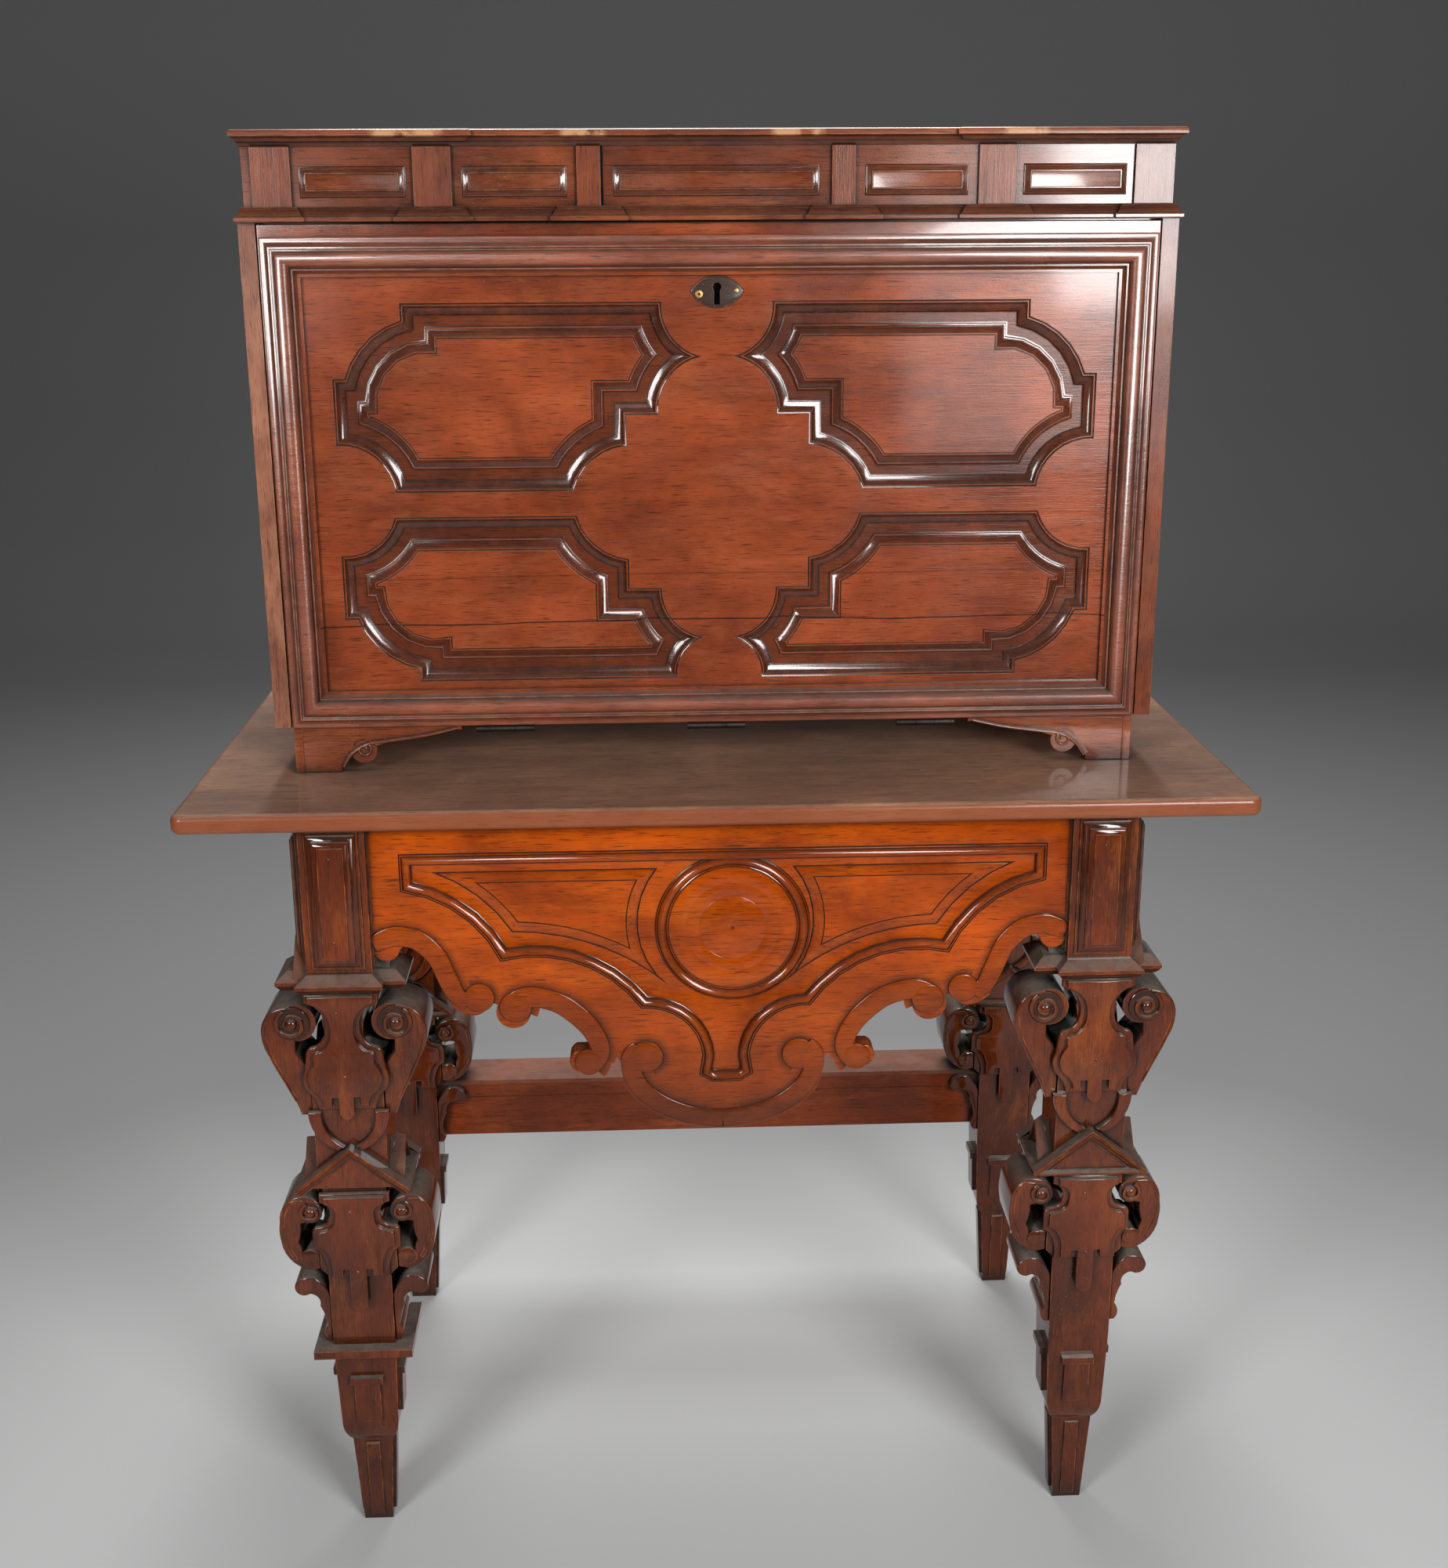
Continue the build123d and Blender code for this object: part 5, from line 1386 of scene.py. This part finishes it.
lid_run("lid_base_run", stepped_path(BREAKS, 6), BASE, ["lid_base_moulding"])
lid_run("lid_cornice_run", stepped_path([], 0), CORNICE, ["lid_cornice"])

# %% [markdown]
# ## The crown
#
# The crown closes the lid. It stands forward of the frieze, but between the end
# pilasters its front blocks are gone and it drops back to the board. The run is capped
# above and below and closed at the back, so that it reads as one thick board.

# %% the crown
CROWN = [(0, 1594.5), (3.4, 1594.5, 0.9), (4, 1595.6, 0.7), (5, 1597.2, 0.6), (6.6, 1598.8, 0.7),
         (7.6, 1599.2, 0.95), (8, 1599.6), (9, 1599.8), (9, 1604), (8.2, 1605.6), (6.4, 1606.5),
         (0, 1606.5)]
CROWN_LOW, CROWN_HIGH = CROWN[0][1], CROWN[-1][1]
CROWN_FRONT = LID_FRONT - 6
LOST_FROM, LOST_TO = -260, 267
crown_path = [(-LID_HALF, CASE_BACK), (-LID_HALF, CROWN_FRONT), (LOST_FROM, CROWN_FRONT),
              (LOST_FROM, LID_FRONT), (LOST_TO, LID_FRONT), (LOST_TO, CROWN_FRONT),
              (LID_HALF, CROWN_FRONT), (LID_HALF, CASE_BACK)]
crown = Shape()
rings = follow(crown_path, CROWN, laid_flat)
crown.rings(rings, closed=False, patina=shades(CROWN))
for level in (CROWN_LOW, CROWN_HIGH):
    crown.flat([crown_path], level, laid_flat)
back = [(-LID_HALF, CROWN_LOW), (LID_HALF, CROWN_LOW), (LID_HALF, CROWN_HIGH), (-LID_HALF, CROWN_HIGH)]
crown.add([(x, CASE_BACK, z) for x, z in back], [(0, 1, 2, 3)])
for end in (0, -1):
    crown.add([ring[end] for ring in rings], [tuple(range(len(rings)))])
make_piece("lid_crown", crown, crown_wood, "box_lid", ["lid_break_blocks", "lid_top"])

# %% [markdown]
# ## Bracket feet
#
# The chest stands on four low feet sawn to a scroll. A narrow carved band follows the
# scroll and ends in a small volute. The feet are flat boards with softened edges, so the
# helper that made the shields makes them too, and a mirror gives the other side.

# %% drawings of the feet
FOOT_OUT, FOOT_IN = 480, 462
FOOT_FRONT = CASE_FRONT + 2
FOOT_EDGE = [(0, 0, 0), (190, 0, 0), (190, 6, -0.2), (140, 16, -0.1), (92, 24, 1.0), (64, 34, -0.3),
             (52, 54, 0), (0, 54, 0)]
FOOT_CUT = [(-295, 962, 2.6), (-330, 954, 3), (-372, 948, 3.2), (-398, 944, 3.4), (-416, 933, 3.6),
            (-426, 918, 3)]
print("the feet are", CASE_LOW - TABLE_TOP, "mm high")

# %% bracket feet
outline = hung([(x - FOOT_OUT, z, b) for x, z, b in FOOT_EDGE], CASE_LOW)
corner = rectangle(-FOOT_OUT, 10 - FOOT_OUT, TABLE_TOP, CASE_LOW)
cut = smooth_path(FOOT_CUT)
one = Shape()
carved_plate(one, outline, FOOT_FRONT, FOOT_FRONT + 18, 1.2)
carved_plate(one, outline, CASE_BACK - 20, CASE_BACK - 2, 1.2)
carved_plate(one, corner, FOOT_FRONT - 1, FOOT_FRONT + 2, 0.6)
ridge(one, cut, FOOT_FRONT + 0.4, 1.6)
# A painted shadow beside the carved band of the foot.
shadow_strip(one, cut, -1, FOOT_FRONT - 0.1, 5)
ridge(one, spiral(-402, 938, 9, 3, 60, 1.2, 3, 2, hand=-1), FOOT_FRONT + 0.4, 1.6)
feet = Shape()
feet.merge(one)
feet.merge(one, mirror=True)
for side in (-1, 1):
    x0, x1 = sorted((side * FOOT_IN, side * FOOT_OUT))
    for y0, y1 in ((CASE_FRONT + 20, CASE_FRONT + 95), (CASE_BACK - 95, CASE_BACK - 20)):
        carved_plate(feet, rectangle(x0, x1, TABLE_TOP, CASE_LOW), y0, y1, 0.6)
make_piece("scroll_feet", feet, case_wood, "stand_and_case", ["bracket_feet"])

# %% [markdown]
# ## Light
#
# Dark varnish shows its shape by what it mirrors. Two soft lamps stand in front, one each
# side, and each has a small dim screen beside it that draws a wide, faint reflection. A
# long lamp hangs above and behind and gives the table top and the lid a bright edge. The
# dim grey sky only keeps the hollows from going black.


# %% lamps
def soft_lamp(name, place, target, size, power):
    lamp = bpy.data.lights.new(name, "AREA")
    lamp.shape = "RECTANGLE"
    lamp.size, lamp.size_y = size
    lamp.energy = power
    made = bpy.data.objects.new(name, lamp)
    made.location = place
    made.rotation_euler = (Vector(target) - Vector(place)).to_track_quat("-Z", "Y").to_euler()
    made.visible_camera = False
    bpy.context.scene.collection.objects.link(made)


# Each row is the name, the place, the point it faces, its two sides in metres and its watts.
LAMPS = [
    ("right_lamp", (1.5, -3.0, 1.86), (0, 0, 1.0), (1.1, 1.15), 96),
    ("right_screen", (1.05, -3.05, 1.35), (0, 0, 1.1), (0.9, 0.9), 6.5),
    ("left_lamp", (-1.9, -2.9, 1.9), (0, 0, 0.95), (0.8, 1.0), 62),
    ("left_screen", (-1.2, -3.05, 1.45), (0, 0, 1.1), (0.7, 0.5), 1.2),
    ("back_lamp", (0.0, 1.6, 3.4), (0, -0.1, 0.2), (1.6, 2.4), 135)]
for row in LAMPS:
    soft_lamp(*row)
print(len(LAMPS), "lamps, together", sum(row[-1] for row in LAMPS), "W")

# %% sky
SKY_GREY, SKY_STRENGTH = 0.5, 0.24
world = bpy.data.worlds.new("studio_sky")
bpy.context.scene.world = world
world.use_nodes = True
sky = world.node_tree.nodes["Background"]
sky.inputs["Color"].default_value = rgb(SKY_GREY, SKY_GREY, SKY_GREY)
sky.inputs["Strength"].default_value = SKY_STRENGTH
print("sky strength", SKY_STRENGTH)

# %% [markdown]
# ## Floor
#
# The floor's colour is a painted pool of light: palest round the stand and darker with
# distance, in place of the fall-off of lamps on a paper backdrop. Far away the painted
# colour lifts again, so that it meets the sky without a hard line. Behind the stand it
# curves up and has no corner.

# %% paper
LIT_POOL_MIDDLE, LIT_POOL_REACH = (0.0, -0.55, 0.0), 1.15
DARKEST, PALEST = 0.2, 0.45
HORIZON_FROM, HORIZON_TO, HORIZON_PALE = 7.5, 16.0, 0.9
paper = Recipe("studio_paper_painted_light")
here = paper.coords.outputs["Object"]
# A painted pool of light: the paper's colour falls off with distance from the stand.
away = paper.node("VectorMath", {"operation": "DISTANCE"}, i0=here, i1=LIT_POOL_MIDDLE).outputs["Value"]
spread = paper.math("POWER", paper.math("DIVIDE", away, LIT_POOL_REACH), 2.0)
painted_light_level = paper.math("DIVIDE", 0.66, paper.math("ADD", spread, 1.0))
painted_light_level = paper.math("MINIMUM", paper.math("MAXIMUM", painted_light_level, DARKEST), PALEST)
painted_light_level = paper.math("MAXIMUM", painted_light_level, paper.levels(away, HORIZON_FROM, HORIZON_TO, 0.0, HORIZON_PALE))
paper.plug(paper.shader, "Base_Color", paper.node("CombineColor", i0=painted_light_level, i1=painted_light_level, i2=painted_light_level).outputs[0])
paper.shader.inputs["Roughness"].default_value = 0.9
print("paper made of", len(paper.material.node_tree.nodes), "nodes")

# %% floor
FAR = 40000
SWEEP = [(-FAR, 0), (4200, 0), (4600, 40), (4900, 160), (5100, 400), (5200, 800), (5200, 6000)]
stage = Shape()
stage.rings([[(-FAR, y, z), (FAR, y, z)] for y, z in SWEEP], closed=False)
mesh = raw_mesh("studio_floor", stage)
mesh.materials.append(paper.material)
for face in mesh.polygons:
    face.use_smooth = True
floor = bpy.data.objects.new("studio_floor", mesh)
bpy.context.scene.collection.objects.link(floor)
print("the floor runs", FAR / 1000, "m to each side")

# %% [markdown]
# ## Camera
#
# The camera stands at eye height, close and a little to the left, and looks slightly
# down. Its three directions are written as a matrix, because it also leans by a small
# angle, which is hard to read in turns about the axes.

# %% camera
EYE = Vector((-0.07606, -2.22076, 1.50649))
RIGHT = Vector((0.99909, -0.04227, -0.0052))
UPWARD = Vector((0.017, 0.28383, 0.95872))
AHEAD = Vector((0.03905, 0.95794, -0.28429))
SENSOR_WIDTH, LENS = 36, 46.62
camera_data = bpy.data.cameras.new("viewer")
camera_data.sensor_fit = "HORIZONTAL"
camera_data.sensor_width = SENSOR_WIDTH
camera_data.lens = LENS
turned = Matrix((RIGHT, UPWARD, -AHEAD)).transposed().to_4x4()
turned.translation = EYE
camera = bpy.data.objects.new("viewer", camera_data)
camera.matrix_world = turned
bpy.context.scene.collection.objects.link(camera)
bpy.context.scene.camera = camera
bpy.context.scene.view_settings.view_transform = "Standard"
print("camera", round((EYE - Vector((0, 0, EYE.z))).length, 2), "m from the stand's middle, lens", LENS)

# %% [markdown]
